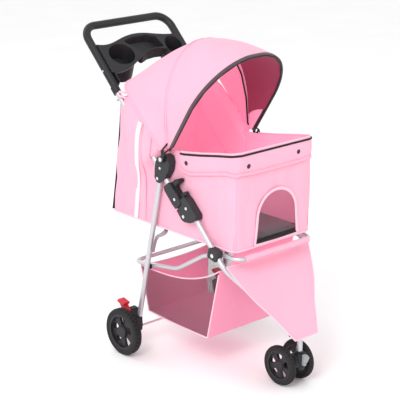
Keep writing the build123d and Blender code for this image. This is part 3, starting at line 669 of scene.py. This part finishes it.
def make_cabin():
    rows = []
    for k in (0.02, 0.3, 0.6, 0.85, 0.95):
        rows.append([(k * x, CABIN_FRONT + k * s + (1 - k) * 270, CABIN_BOTTOM + 0.6)
                     for x, s, _, _ in PLAN * [1, (FLOOR_REAR - CABIN_FRONT) / CABIN_LENGTH, 1, 1]])
    for inset, z in ((5.0, 404.9), (2.0, 406.2), (0.5, 409.0)):
        rows.append([(x - nx * inset, CABIN_FRONT + s * (FLOOR_REAR - CABIN_FRONT) / CABIN_LENGTH
                      - ny * inset, z) for x, s, nx, ny in PLAN])
    for h in np.linspace(0, 1, 34):
        rows.append([cabin_point(s, h) for s in PLAN])
    a = np.array(rows, float)
    weight = np.ones(a.shape[:2])
    weight[:8] = 0.0
    weight[8:12] *= 0.4
    calm = 1 - 0.6 * np.exp(-((a[..., 1] + 80) / 80) ** 2)
    calm *= np.where(a[..., 2] > a[..., 2].max(0) - 40, 0.5, 1.0)
    a = wrinkled(a, 4.2, 52.0, stretch=(1, 1, 0.24), seed=3.0, closed=True,
                 weight=weight * calm)
    shell = grid("cabin_cloth", a, thickness=1.8, closed=True, lined=(pink, pink_inside))
    cut(shell, arch_outline(76.0, 418.0, 486.0, 566.0), -300, -240)
    z0, z1, w = 452.0, 728.0, 116.0
    rear = [(-w, z0), (w, z0), (w, z1), (-w, z1)]
    cut(shell, np.array(rear, float), 180, 330)
    return shell


def on_cabin(obj):
    """The cabin stands on the front frame."""
    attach(obj, "front_frame")
    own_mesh(obj)


def riding(body):
    """For trim: makes a piece ride on that body."""
    return lambda obj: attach(obj, body)


on_frame = riding("front_frame")


cabin = dress(make_cabin(), pink)
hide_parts("cabin_shell")
on_cabin(cabin)


def make_front_window():
    """Net in the arched opening, with its binding, piping and stitches."""
    sill, spring, half_width, centre = 414.0, 486.0, 80.0, 8.0
    rows = []
    for z in np.linspace(sill + 0.5, 569.5, 26):
        if z <= spring:
            half = half_width + 8 * (1 - (z - sill) / 72)
        else:
            half = half_width * math.sqrt(max(1 - ((z - spring) / 84.0) ** 2, 0.0004))
        dome = 2.2 * math.sin(math.pi * (z - sill) / 156)
        rows.append([(centre + half * t, -266.6 - dome * (1 - t * t), z)
                     for t in np.linspace(-1, 1, 23)])
    mesh = dress(grid("front_window_net", rows, thickness=0.5), window_net)
    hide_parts("window_mesh")
    on_cabin(mesh)
    path = even([(x, -269.0 - 1.6 * math.sin(math.pi * min(max((z - 404) / 290, 0), 1)), z)
                 for x, z in arch_outline(78.0, 417.0, spring, 568.0)], 3.0)
    trim(on_cabin, ribbon("front_window_binding", path, (0, -1, 0), 9.0, 1.6, closed=True),
         pink_light)
    edge = smooth_path(even([(-74, -268.6, 421), (8, -270.4, 421), (90, -268.6, 421)], 6), 5)
    trim(on_cabin, tube("window_sill_piping", edge, 2.6), black_tape)
    trim(on_cabin, stitches("front_window_stitches", path, (0, -1, 0), lift=1.6), thread)


make_front_window()


def rear_frame_point(x, z, out=0.0):
    wide = 1 + over_tube(rear_y(z) - 6, z) / CABIN_HALF
    return np.array([x * wide, rear_y(z) + 1.5 + out, z])


def make_rear_panel():
    """Bulging net panel across the rear, closed by a zip down each side."""
    rows = []
    for z in np.linspace(414.0, 760.0, 36):
        h = (z - 414) / 346
        belly = 14.0 * math.sin(math.pi * h) ** 0.4
        rows.append([rear_frame_point(x, z, belly * (1 - (x / 143.0) ** 2) ** 0.22)
                     for x in np.linspace(143, -143, 25)])
    a = wrinkled(np.array(rows), 1.6, 60.0, stretch=(1, 1, 0.5), seed=8.0)
    panel = dress(grid("rear_net_panel", a, thickness=0.6), rear_net)
    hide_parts("rear_mesh")
    on_cabin(panel)
    normal = np.array([0, 1.0, 0.17])
    pieces, teeth = [], []
    for sign in (-1, 1):
        path = even([rear_frame_point(sign * 144, z, 2.2) for z in np.linspace(412, 764, 12)], 8)
        pieces.append(ribbon("tape", path, normal, 14.0, 1.0))
        teeth.append(zip_teeth("teeth", path, normal))
    across = even([rear_frame_point(x, 414, 2.2) for x in np.linspace(-140, 140, 12)], 8)
    pieces.append(ribbon("tape", across, normal, 12.0, 1.2))
    trim(on_cabin, join("rear_zip_tapes", pieces), black_tape)
    trim(on_cabin, join("rear_zip_teeth", teeth), zip_black)
    rim = even([rear_frame_point(x, z, 1.0) for x, z in
                ((-150, 768), (-100, 770), (0, 771), (100, 770), (150, 768))], 8)
    trim(on_cabin, tube("rear_top_piping", rim, 3.0), pink_light)


make_rear_panel()


def wall_path(side, points, out=0.6):
    """Points on a side wall: side is -1 or 1, and points are (y, z)."""
    path = []
    for y, z in points:
        f = (y - CABIN_FRONT) / (rear_y(z) - CABIN_FRONT)
        z_low, z_top = wall_span(f)
        h = (z - z_low) / (z_top - z_low)
        bulge = cabin_bulge(side * CABIN_HALF, y, side, 0, h, z)
        path.append((side * (CABIN_HALF + bulge + out), y, z))
    return np.array(path)


def line(a, b, count=12):
    return [tuple(np.asarray(a) + (np.asarray(b) - np.asarray(a)) * t)
            for t in np.linspace(0, 1, count)]


def make_wall_trims():
    """Pale webbing down each side, corner seams and the bottom hem."""
    bands, seams, threads = [], [], []
    for side in (-1, 1):
        normal = (side, 0, 0)
        route = line((162, 410), (118, 660), 13) + line((116, 672), (108, 722), 4)
        band = smooth_path(wall_path(side, route, 1.3), 8)
        bands.append(ribbon("band", band, normal, 19.0, 0.9))
        for dy in (-8.2, 8.2):
            threads.append(stitches("row", band + [side * 0.9, dy, 0], normal))
        for y0, y1 in ((118, 96), (66, 62)):
            path = smooth_path(wall_path(side, line((y0, 412), (y1, rim_z(y1) - 4), 16), 0.7), 8)
            seams.append(ribbon("seam", path, normal, 4.0, 0.8))
            threads.append(stitches("row", path + [side * 0.8, 3.4, 0], normal, lift=-0.4))
        corner = even([(side * (CABIN_HALF - 5.6), CABIN_FRONT + 5.6, z)
                       for z in np.linspace(410, 640, 30)], 6)
        seams.append(ribbon("seam", corner, (side, -1, 0), 5.0, 1.2))
        threads.append(stitches("row", corner + [side * 3.6, 3.6, 0], (side, -0.6, 0)))
    trim(on_cabin, join("side_webbing", bands), pale_band)
    trim(on_cabin, join("wall_seams", seams), hem_pink)
    trim(on_cabin, join("wall_stitches", threads), thread)
    hem = even([(x + nx * 0.6, CABIN_FRONT + s * (273.4 - CABIN_FRONT) / CABIN_LENGTH
                 + ny * 0.6, 411.0) for x, s, nx, ny in PLAN], 7)[:-1]
    trim(on_cabin, tube("cabin_bottom_piping", hem, 2.3, closed=True, sides=8), pink_light)


make_wall_trims()


def make_side_linings():
    """Inner layer of each side wall beside the handle tube, from below it up to the hood."""
    sheets = []
    for side in (-1, 1):
        rows = []
        for h in np.linspace(0, 1, 16):
            row = []
            for y in np.linspace(6, 210, 28):
                low = max(FOLD_PIVOT[1] + (y - FOLD_PIVOT[0]) * math.tan(HANDLE_TURN) - 75, 440)
                z = low + h * (rim_z(y) + 5.0 * ease((y - 120) / 50) - 1.5 - low)
                x = 150.0 - 1.5 * math.sin(math.pi * h) + 18.0 * ease((h - 0.8) / 0.2)
                row.append((side * x, y, z))
            rows.append(row if side > 0 else row[::-1])
        a = wrinkled(np.array(rows), 1.6, 50.0, stretch=(1, 1, 0.4), seed=50.0 + side)
        sheets.append(grid("lining", a, thickness=1.0))
    trim(on_cabin, join("side_linings", sheets), pink_inside)


make_side_linings()


def band_path(side_end=-45.0, offset=3.6, step=5.0):
    """Path round the front of the rim, from one side to the other, with outward normals."""
    w, r = CABIN_HALF + offset, 22.0 + offset
    y0 = CABIN_FRONT - offset
    pts, nrm = [], []
    for y in np.arange(side_end, y0 + r, -step):
        pts.append((-w, y))
        nrm.append((-1, 0))
    for a in np.radians(np.linspace(0, 90, 9)):
        pts.append((-w + r - r * math.cos(a), y0 + r - r * math.sin(a)))
        nrm.append((-math.cos(a), -math.sin(a)))
    for x in np.arange(-w + r + step, 0.01, step):
        pts.append((x, y0))
        nrm.append((0, -1))
    pts += [(-x, y) for x, y in reversed(pts)]
    nrm += [(-x, y) for x, y in reversed(nrm)]
    return np.array(pts), np.array(nrm)


def band_edges(p):
    """Top and bottom heights of the flap at a point of its path."""
    x, y = p
    top = rim_z(max(y, CABIN_FRONT))
    low = np.interp(y, [-272, -240, -160, -84, -60, -45], [632, 635, 618, 601, 604, 612])
    if y < CABIN_FRONT:
        low += 6.0 * (x / CABIN_HALF) ** 4
    return top, low


def make_flap():
    """The front flap rolled down over the rim, with snaps, a zip along its fold and a hem."""
    pts, nrm = band_path()

    def rim_line(out, edge, lift):
        """Line round the rim: out from its path, from its top edge (0) or its bottom one (1)."""
        return [(x + nx * out, y + ny * out, band_edges((x, y))[edge] + lift)
                for (x, y), (nx, ny) in zip(pts, nrm)]

    section = [(-3.0, -8.0), (-3.2, -1.0), (-2.0, 1.8), (0.6, 2.2), (2.6, 0.6), (3.4, -4.0)]
    rows = [rim_line(out - 1.2, 0, drop) for out, drop in section]
    for h in np.linspace(0.14, 1, 10):
        out = 2.4 + 2.2 * math.sin(math.pi * min(h * 1.05, 1)) - 1.4 * h
        row = []
        for (x, y), (nx, ny) in zip(pts, nrm):
            top, low = band_edges((x, y))
            row.append((x + nx * out, y + ny * out, top + h * (low - top)))
        rows.append(row)
    a = np.array(rows)[::-1]
    weight = np.ones(a.shape[:2])
    weight[-6:] = 0.3
    a = wrinkled(a, 0.9, 55.0, seed=5.0, weight=weight)
    band = dress(grid("front_flap", a, thickness=1.6), pink)
    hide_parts("flap_band")
    on_cabin(band)
    normals = np.stack([nrm[:, 0], nrm[:, 1], np.zeros(len(nrm))], 1)
    lower = np.array(rim_line(2.6, 1, 1.0))
    trim(on_cabin, ribbon("flap_hem", lower, normals, 9.0, 2.2, lift=-1.0), hem_pink)
    trim(on_cabin, stitches("flap_stitches", lower + [0, 0, 6.4], normals, lift=1.5), thread)
    upper = rim_line(3.2, 0, -3.2)
    trim(on_cabin, ribbon("rim_zip_tape", upper, normals, 6.4, 1.0, lift=-0.2), black_tape)
    trim(on_cabin, zip_teeth("rim_zip_teeth", upper, normals), zip_black)
    trim(on_cabin, tube("rim_piping", rim_line(-1.4, 0, 2.6), 2.4), pink_light)
    dome = [(7.2, -0.5), (7.2, 0.9), (6.4, 1.9), (4.2, 2.6), (1.8, 2.9), (0.3, 2.9)]
    studs = [lathe("stud", (x + nx * 3.2, y + ny * 3.2, z), (nx, ny, 0), dome)
             for x, y, nx, ny, z in ((-155.0, -71, -1, 0, 632), (155.0, -71, 1, 0, 632),
                                     (-109, -269.8, 0, -1, 657), (88, -269.8, 0, -1, 662))]
    trim(on_cabin, join("flap_snaps", studs), snap_black)


make_flap()


def make_pad():
    """Plush pad on the cabin floor, blown up a little so that it crowns between its edges."""
    low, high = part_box("floor_pad")
    low, high = np.array(low) / MM, np.array(high) / MM
    inset, r = 3.0, 24.0
    x1, y0, y1 = high[0] - inset, low[1] + inset, high[1] - inset
    z0, z1 = low[2] + 0.6, high[2] - 3.2
    outline = []
    for cx, cy, start in ((x1 - r, y1 - r, 0), (-x1 + r, y1 - r, 90), (-x1 + r, y0 + r, 180),
                          (x1 - r, y0 + r, 270)):
        for a in np.radians(np.linspace(start, start + 90, 7)):
            outline.append((cx + r * math.cos(a), cy + r * math.sin(a)))
    outline = even([(x, y, 0) for x, y in outline + outline[:1]], 9.0)[:-1]
    rows = []
    centre = np.array([0, (y0 + y1) / 2, 0])
    for k, z in ((0.02, z1), (0.35, z1), (0.7, z1), (0.93, z1), (0.99, z1 - 1.5), (1.0, z1 - 5),
                 (1.0, z0 + 4), (0.99, z0 + 1), (0.93, z0), (0.7, z0), (0.35, z0), (0.02, z0)):
        rows.append(centre + (outline - centre) * [k, k, 0] + [0, 0, z])
    pad = grid("floor_cushion", np.array(rows), closed=True)
    pad.data.flip_normals()
    remesh = pad.modifiers.new("voxels", "REMESH")
    remesh.mode, remesh.voxel_size = "VOXEL", 6 * MM
    baked(pad)
    before = places(pad.data)
    cloth = pad.modifiers.new("cloth", "CLOTH")
    cloth.settings.use_pressure = True
    cloth.settings.uniform_pressure_force = 4.0
    cloth.settings.effector_weights.gravity = 0.0
    cloth.settings.quality = 5
    scene = bpy.context.scene
    for step in range(1, 15):
        scene.frame_set(step)
    baked(pad)
    scene.frame_set(1)
    move = places(pad.data) - before
    far = np.maximum(np.linalg.norm(move, axis=1, keepdims=True), 1e-9)
    after = before + move * np.minimum(1, 5 * MM / far)
    after[:, 2] = np.maximum(after[:, 2], (low[2] + 0.3) * MM)
    limit = (high[0] - 0.4) * MM
    after[:, 0] = np.clip(after[:, 0], -limit, limit)
    after[:, 1] = np.clip(after[:, 1], (low[1] + 0.4) * MM, (high[1] - 0.4) * MM)
    pad.data.vertices.foreach_set("co", after.ravel())
    pad.data.update()
    pad.modifiers.new("smooth", "SUBSURF").levels = 1
    baked(pad, 180)
    dress(pad, pad_cloth)
    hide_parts("floor_pad")
    on_cabin(pad)
    edge = even([(x, y, (z0 + z1) / 2 + 0.5) for x, y, _ in
                 centre + (outline - centre) * [1.006, 1.004, 0]], 8)
    trim(on_cabin, tube("cushion_piping", edge, 2.2, closed=True, sides=8), black_tape)


make_pad()


# --- hood ------------------------------------------------------------------------
HOOD_PIVOT = (2.0, 634.0)
ARCHES = [
    dict(angle=134.7, half=180.0, shoulder=238.0, height=272.0, round=40.0),
    dict(angle=95.0, half=163.0, shoulder=100.0, height=322.0, round=150.0),
    dict(angle=57.0, half=170.0, shoulder=176.0, height=366.0, round=158.0),
]
HOOD_FOOT = 27.0


def arch_points(arch):
    """Half-open arch from the right foot (-X) over the crown to the left foot, as (x, u)."""
    w, h, a, s = arch["half"], arch["height"], arch["round"], arch["shoulder"]
    straight = [(w, u) for u in np.linspace(HOOD_FOOT, s, 11)[:-1]]
    corner = [(w - a + a * math.cos(t), s + (h - s) * math.sin(t))
              for t in np.radians(np.linspace(0, 90, 21))]
    crown = [(x, h) for x in np.linspace(w - a, 0, 6)[1:]]
    half = straight + corner + crown
    return np.array([(-x, u) for x, u in half] + [(x, u) for x, u in reversed(half[:-1])])


def hood_grid(f_low=0.0, f_high=2.0, count=49):
    """Rows of points on the hood from the rear arch (0) by the middle (1) to the front (2)."""
    lines = [arch_points(a) for a in ARCHES]
    angles = [a["angle"] for a in ARCHES]
    rows, sags = [], []
    for f in np.linspace(f_low, f_high, count):
        i = min(int(f), 1)
        t = f - i
        line_2d = lines[i] * (1 - t) + lines[i + 1] * t
        angle = math.radians(angles[i] * (1 - t) + angles[i + 1] * t)
        rows.append([(x, HOOD_PIVOT[0] - u * math.cos(angle), HOOD_PIVOT[1] + u * math.sin(angle))
                     for x, u in line_2d])
        d = np.linspace(0, 1, len(line_2d))
        across = np.sin(np.pi * d) ** 0.6
        depth = 7.0 * math.sin(math.pi * t) if i else 13.0 * math.sin(math.pi * t ** 0.8)
        sags.append(depth * across)
    a = np.array(rows)
    n = grid_normals(a)
    centre = np.array([0, *HOOD_PIVOT])
    if (n * (a - centre)).sum() < 0:
        a, n, sags = a[::-1], -n[::-1], sags[::-1]
    return a - n * np.array(sags)[..., None], n


def on_hood(obj):
    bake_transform(obj)


def make_hood():
    a, _ = hood_grid()
    d = np.linspace(0, 1, a.shape[1])
    weight = np.ones(a.shape[:2]) * (np.sin(np.pi * d) ** 0.4)[None, :]
    across = 0.5 + 0.5 * np.cos(np.linspace(0, 2 * math.pi, a.shape[0]))[:, None]
    a = wrinkled(a, 2.8, 62.0, seed=12.0, weight=weight * (1.15 - across))
    cover = dress(grid("hood_cloth", a, thickness=1.4, lined=(pink, pink_inside)), pink)
    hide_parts("canopy_cover")
    on_hood(cover)
    n = grid_normals(a)
    front_first = a[0, a.shape[1] // 2, 1] < a[-1, a.shape[1] // 2, 1]
    front_row, rear_row = (0, -1) if front_first else (-1, 0)
    into = unit(a[1 if front_first else -2] - a[front_row])
    edge = a[front_row] + into * 4.5 - n[front_row] * 0.7
    trim(on_hood, ribbon("hood_front_binding", edge, n[front_row], 12.0, 3.8, lift=-1.9),
         grey_binding)
    edge = a[front_row] + into * 8.6 + n[front_row] * 0.4
    trim(on_hood, stitches("hood_binding_stitches", edge, n[front_row], lift=0.9), grey_binding)
    into = unit(a[-2 if front_first else 1] - a[rear_row])
    trim(on_hood, ribbon("hood_rear_hem", a[rear_row] + into * 3.5, n[rear_row], 8.0, 2.0,
                         lift=-1.0), hem_pink)
    middle = a.shape[0] // 2
    along = unit(a[middle + 1] - a[middle - 1])
    seams, rows = [], []
    for shift in (-4.0, 4.0):
        path = a[middle] + along * shift
        seams.append(ribbon("seam", path, n[middle], 2.4, 1.0, lift=-0.1))
        rows.append(stitches("row", a[middle] + along * shift * 1.9, n[middle]))
    trim(on_hood, join("hood_middle_seams", seams), pink_deep)
    trim(on_hood, join("hood_stitches", rows), thread)


make_hood()


def make_hood_lining():
    """Dark lining under the front of the hood, with two pink tapes."""
    a, n = hood_grid(1.06, 1.975, 26)
    a, n = (a - n * 2.6)[:, 6:-6], n[:, 6:-6]
    trim(on_hood, grid("hood_lining", a, thickness=0.7), mauve)
    tapes = []
    for share in (0.36, 0.64):
        j = int(a.shape[1] * share)
        tapes.append(ribbon("tape", smooth_path(a[:, j], 6), -n[0, j], 9.0, 0.8, lift=0.7))
    trim(on_hood, join("hood_lining_tapes", tapes), pink_light)


make_hood_lining()


def on_link(obj):
    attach(obj, "link")
    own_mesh(obj)


FRONT_LOW, FRONT_HIGH = (-144.0, 114.0, 143.0), (-194.0, 334.0, 143.0)
REAR_LOW, REAR_HIGH = (144.0, 108.0, 121.0), (160.0, 257.0, 138.0)


def bilinear(p00, p01, p10, p11, u, v):
    return (p00 * (1 - u) * (1 - v) + p01 * u * (1 - v) + p10 * (1 - u) * v + p11 * u * v)


def corner(c, side):
    return np.array([side * c[2], c[0], c[1]])


def side_net_grid(side, rows=20, cols=34):
    """Side of the basket: its top edge hangs in a curve, and its face bellies outwards."""
    out = []
    for v in np.linspace(0, 1, rows):
        row = []
        for u in np.linspace(0, 1, cols):
            p = bilinear(corner(FRONT_LOW, side), corner(REAR_LOW, side),
                         corner(FRONT_HIGH, side), corner(REAR_HIGH, side), u, v)
            hang = -30.0 * math.sin(math.pi * u ** 0.8) * v
            floor_sag = -3.0 * math.sin(math.pi * u) * (1 - v)
            p = p + [side * 2.6 * math.sin(math.pi * u) * math.sin(math.pi * v), 0,
                     hang + floor_sag]
            row.append(p)
        out.append(row)
    a = np.array(out)
    return a if side > 0 else a[:, ::-1]


def make_basket():
    """Sewn basket: net sides, cloth front, floor and rear, and piping on every edge."""
    nets = [grid("net", side_net_grid(side), thickness=0.5) for side in (-1, 1)]
    sides = dress(join("basket_net_sides", nets), basket_net)
    on_link(sides)
    rows = [[(w * t, y, z - sag * (1 - t * t)) for t in np.linspace(-1, 1, 29)]
            for y, z, w, sag in basket_profile()]
    a = wrinkled(np.array(rows), 1.4, 60.0, seed=21.0)
    cloth = dress(grid("basket_cloth", a, thickness=1.5), pink_deep)
    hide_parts("basket")
    on_link(cloth)
    paths = []
    for side in (-1, 1):
        g = side_net_grid(side)
        paths += [smooth_path(path[::3] if len(path) > 20 else path[::2], 5)
                  for path in (g[0], g[-1], g[:, 0], g[:, -1])]
    paths += [even(a[0], 6), even(a[-1], 6)]
    edges = [tube("edge", path, 2.3, sides=8) for path in paths]
    trim(on_link, join("basket_piping", edges), pink_light)


def basket_profile():
    """Front wall, floor and rear wall in one strip: y, z, half width and sag."""
    def between(start, end, t):
        return [p + (q - p) * t for p, q in zip(start, end)]

    strip = [(*between(FRONT_HIGH, FRONT_LOW, t), 10.0 * (1 - t) ** 2)
             for t in np.linspace(0, 1, 14)[:-1]]
    for t in np.linspace(0, 1, 16)[:-1]:
        y, z, w = between(FRONT_LOW, REAR_LOW, t)
        strip.append((y, z - 3.0 * math.sin(math.pi * t), w, 0.0))
    return strip + [(*between(REAR_LOW, REAR_HIGH, t), 8.0 * t ** 2)
                    for t in np.linspace(0, 1, 10)]


make_basket()


# --- front panel -------------------------------------------------------------------
def make_skirt():
    """Cloth apron stretched over the front legs down to the crown, in two layers."""
    z_top, z_foot = 366.0, 158.0

    def point(h, t, out):
        z = z_top + (z_foot - z_top) * h
        half = 165.0 + (46.0 - 165.0) * (z_top - z) / (z_top - z_foot)
        half += 8.0 * math.sin(math.pi * min(h * 1.5, 1)) + 2.0 * math.sin(math.pi * h)
        y = -243.5 + (-404.0 + 243.5) * h
        sag = 5.0 * math.sin(math.pi * h) * (1 - t * t)
        dip = 7.0 * (1 - t * t) * (1 - h) ** 6
        return (half * t, y - out * 0.8 + sag * 0.6, z + out * 0.6 - sag * 0.5 - dip)

    rows = [[point(h, t, 1.2) for t in np.linspace(-1, 1, 41)] for h in np.linspace(1, 0, 36)]
    a = wrinkled(np.array(rows), 1.3, 80.0, seed=31.0)
    skirt = dress(grid("front_apron", a, thickness=1.4), pink)
    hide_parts("front_panel")
    on_frame(skirt)
    n = grid_normals(a)
    border = np.concatenate([a[0], a[1:, -1], a[-1, ::-1][1:], a[::-1, 0][1:-1]])
    border = even(np.concatenate([border, border[:1]]), 7)[:-1]
    trim(on_frame, tube("apron_piping", border, 1.9, closed=True, sides=8), pink_light)
    inner = np.concatenate([a[2, 2:-2], a[3:-2, -3], a[-3, ::-1][2:-2], a[::-1, 2][3:-2]])
    trim(on_frame, stitches("apron_stitches", inner, n.mean((0, 1)), lift=0.2), thread)


def make_apron_top():
    """Second layer of the apron, from its top edge up to the cabin floor."""
    rows = []
    for h in np.linspace(0, 1, 10):
        z = 362.0 + 41.0 * h
        y = -246.0 - 7.0 * h
        rows.append([(x, y + 1.8 * math.sin(x / 26.0) * (1 - h), z)
                     for x in np.linspace(-146, 96, 36)])
    a = wrinkled(np.array(rows), 1.2, 40.0, seed=61.0)
    # Its deeper pink is painted shade, for the band under the cabin floor.
    layer = dress(grid("apron_top_layer", a, thickness=1.2), pink_deep)
    on_frame(layer)


make_skirt()
make_apron_top()


# --- straps and loops ---------------------------------------------------------------
def make_straps():
    """Webbing from the cabin floor to the rear legs, and the loops that tie the rear corners."""
    straps = []
    for side in (-1, 1):
        path = smooth_path([(side * 140, 40, 402), (side * 152, 30, 399), (side * 163, 34, 392),
                            (side * 168, 50, 380), (side * 168.5, 62, 352),
                            (side * 168.5, 68, 330)], 5)
        straps.append(ribbon("strap", path, (0, -0.75, 0.66), 13.0, 1.4))
    trim(riding("rear_legs"), join("leg_straps", straps), grey_web)
    loops, tips = [], []
    for side in (-1, 1):
        for dz in (0, 14):
            start = (side * 163, 214, 768 + dz)
            path = smooth_path([(side * 150, 206, 756 + dz * 0.6), start,
                                (side * 172, 208, 777 + dz), (side * 178, 194, 783 + dz),
                                (side * 172, 180, 780 + dz)], 3)
            loops.append(tube("loop", path, 3.4, sides=8))
            tips.append(tube("tip", even([start, (side * 168, 224, 764 + dz)], 2), 2.4))
    trim(riding("handle"), join("corner_loops", loops), pink_light)
    trim(riding("handle"), join("loop_tips", tips), finishes["grey_plastic"])


make_straps()


def make_cross_sleeve():
    """Cloth sleeve that hangs the apron from the link's front cross tube."""
    low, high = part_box("link_front_cross")
    radius = 6.5
    y, z = low[1] / MM + radius, (low[2] + high[2]) / MM / 2
    rows = []
    for x in np.linspace(-128, 128, 40):
        puff = 2.4 + 0.5 * math.sin(x / 9.0)
        rows.append([(x, y + (radius + puff) * math.cos(a), z + (radius + puff) * math.sin(a))
                     for a in np.linspace(0, 2 * math.pi, 20, endpoint=False)])
    rows = wrinkled(np.array(rows), 0.6, 30.0, seed=40.0, closed=True)
    trim(riding("link"), grid("cross_sleeve", rows, thickness=1.2, closed=True), pink)


make_cross_sleeve()


# --- stage, light and camera ----------------------------------------------------------
def aim(obj, place, target):
    """Puts a light or the camera at place, looking at target, and adds it to the scene."""
    place, target = Vector(place), Vector(target)
    obj.location = place
    obj.rotation_euler = (target - place).to_track_quat("-Z", "Y").to_euler()
    bpy.context.scene.collection.objects.link(obj)


def make_stage():
    floor = new_mesh("floor", [(-9e3, -9e3, 0), (9e3, -9e3, 0), (9e3, 9e3, 0), (-9e3, 9e3, 0)],
                     [(0, 1, 2, 3)], smooth=False)
    material, tree, shader, coord = start_material("floor_paint")
    grain = noise_of(tree, coord.outputs["Object"], 3.0)
    tree.links.new(colour_between(tree, grain, (0.93, 0.93, 0.93, 1), (0.96, 0.96, 0.96, 1)),
                   shader.inputs["Base Color"])
    shader.inputs["Roughness"].default_value = 0.7
    floor.data.materials.append(material)
    world = bpy.data.worlds.new("studio")
    bpy.context.scene.world = world
    world.use_nodes = True
    background = world.node_tree.nodes["Background"]
    background.inputs["Color"].default_value = (1, 1, 1, 1)
    background.inputs["Strength"].default_value = 1.0
    for name, place, size, power in (("key", (-2.9, -1.5, 2.9), 1.6, 74.0),
                                     ("fill", (1.6, -3.0, 1.6), 2.2, 14.0),
                                     ("back", (-0.5, 2.8, 2.6), 2.0, 16.0)):
        lamp = bpy.data.lights.new(name, "AREA")
        lamp.size, lamp.energy = size, power
        aim(bpy.data.objects.new(name, lamp), place, (0, 0, 0.5))


def make_camera():
    data = bpy.data.cameras.new("camera")
    data.lens, data.sensor_width, data.sensor_fit = 128.3, 36.0, "HORIZONTAL"
    obj = bpy.data.objects.new("camera", data)
    aim(obj, (-2.7487, -2.9722, 1.7535), (0, 0.0453, 0.4615))
    bpy.context.scene.camera = obj


make_stage()
make_camera()
bpy.context.scene.view_settings.view_transform = "Standard"
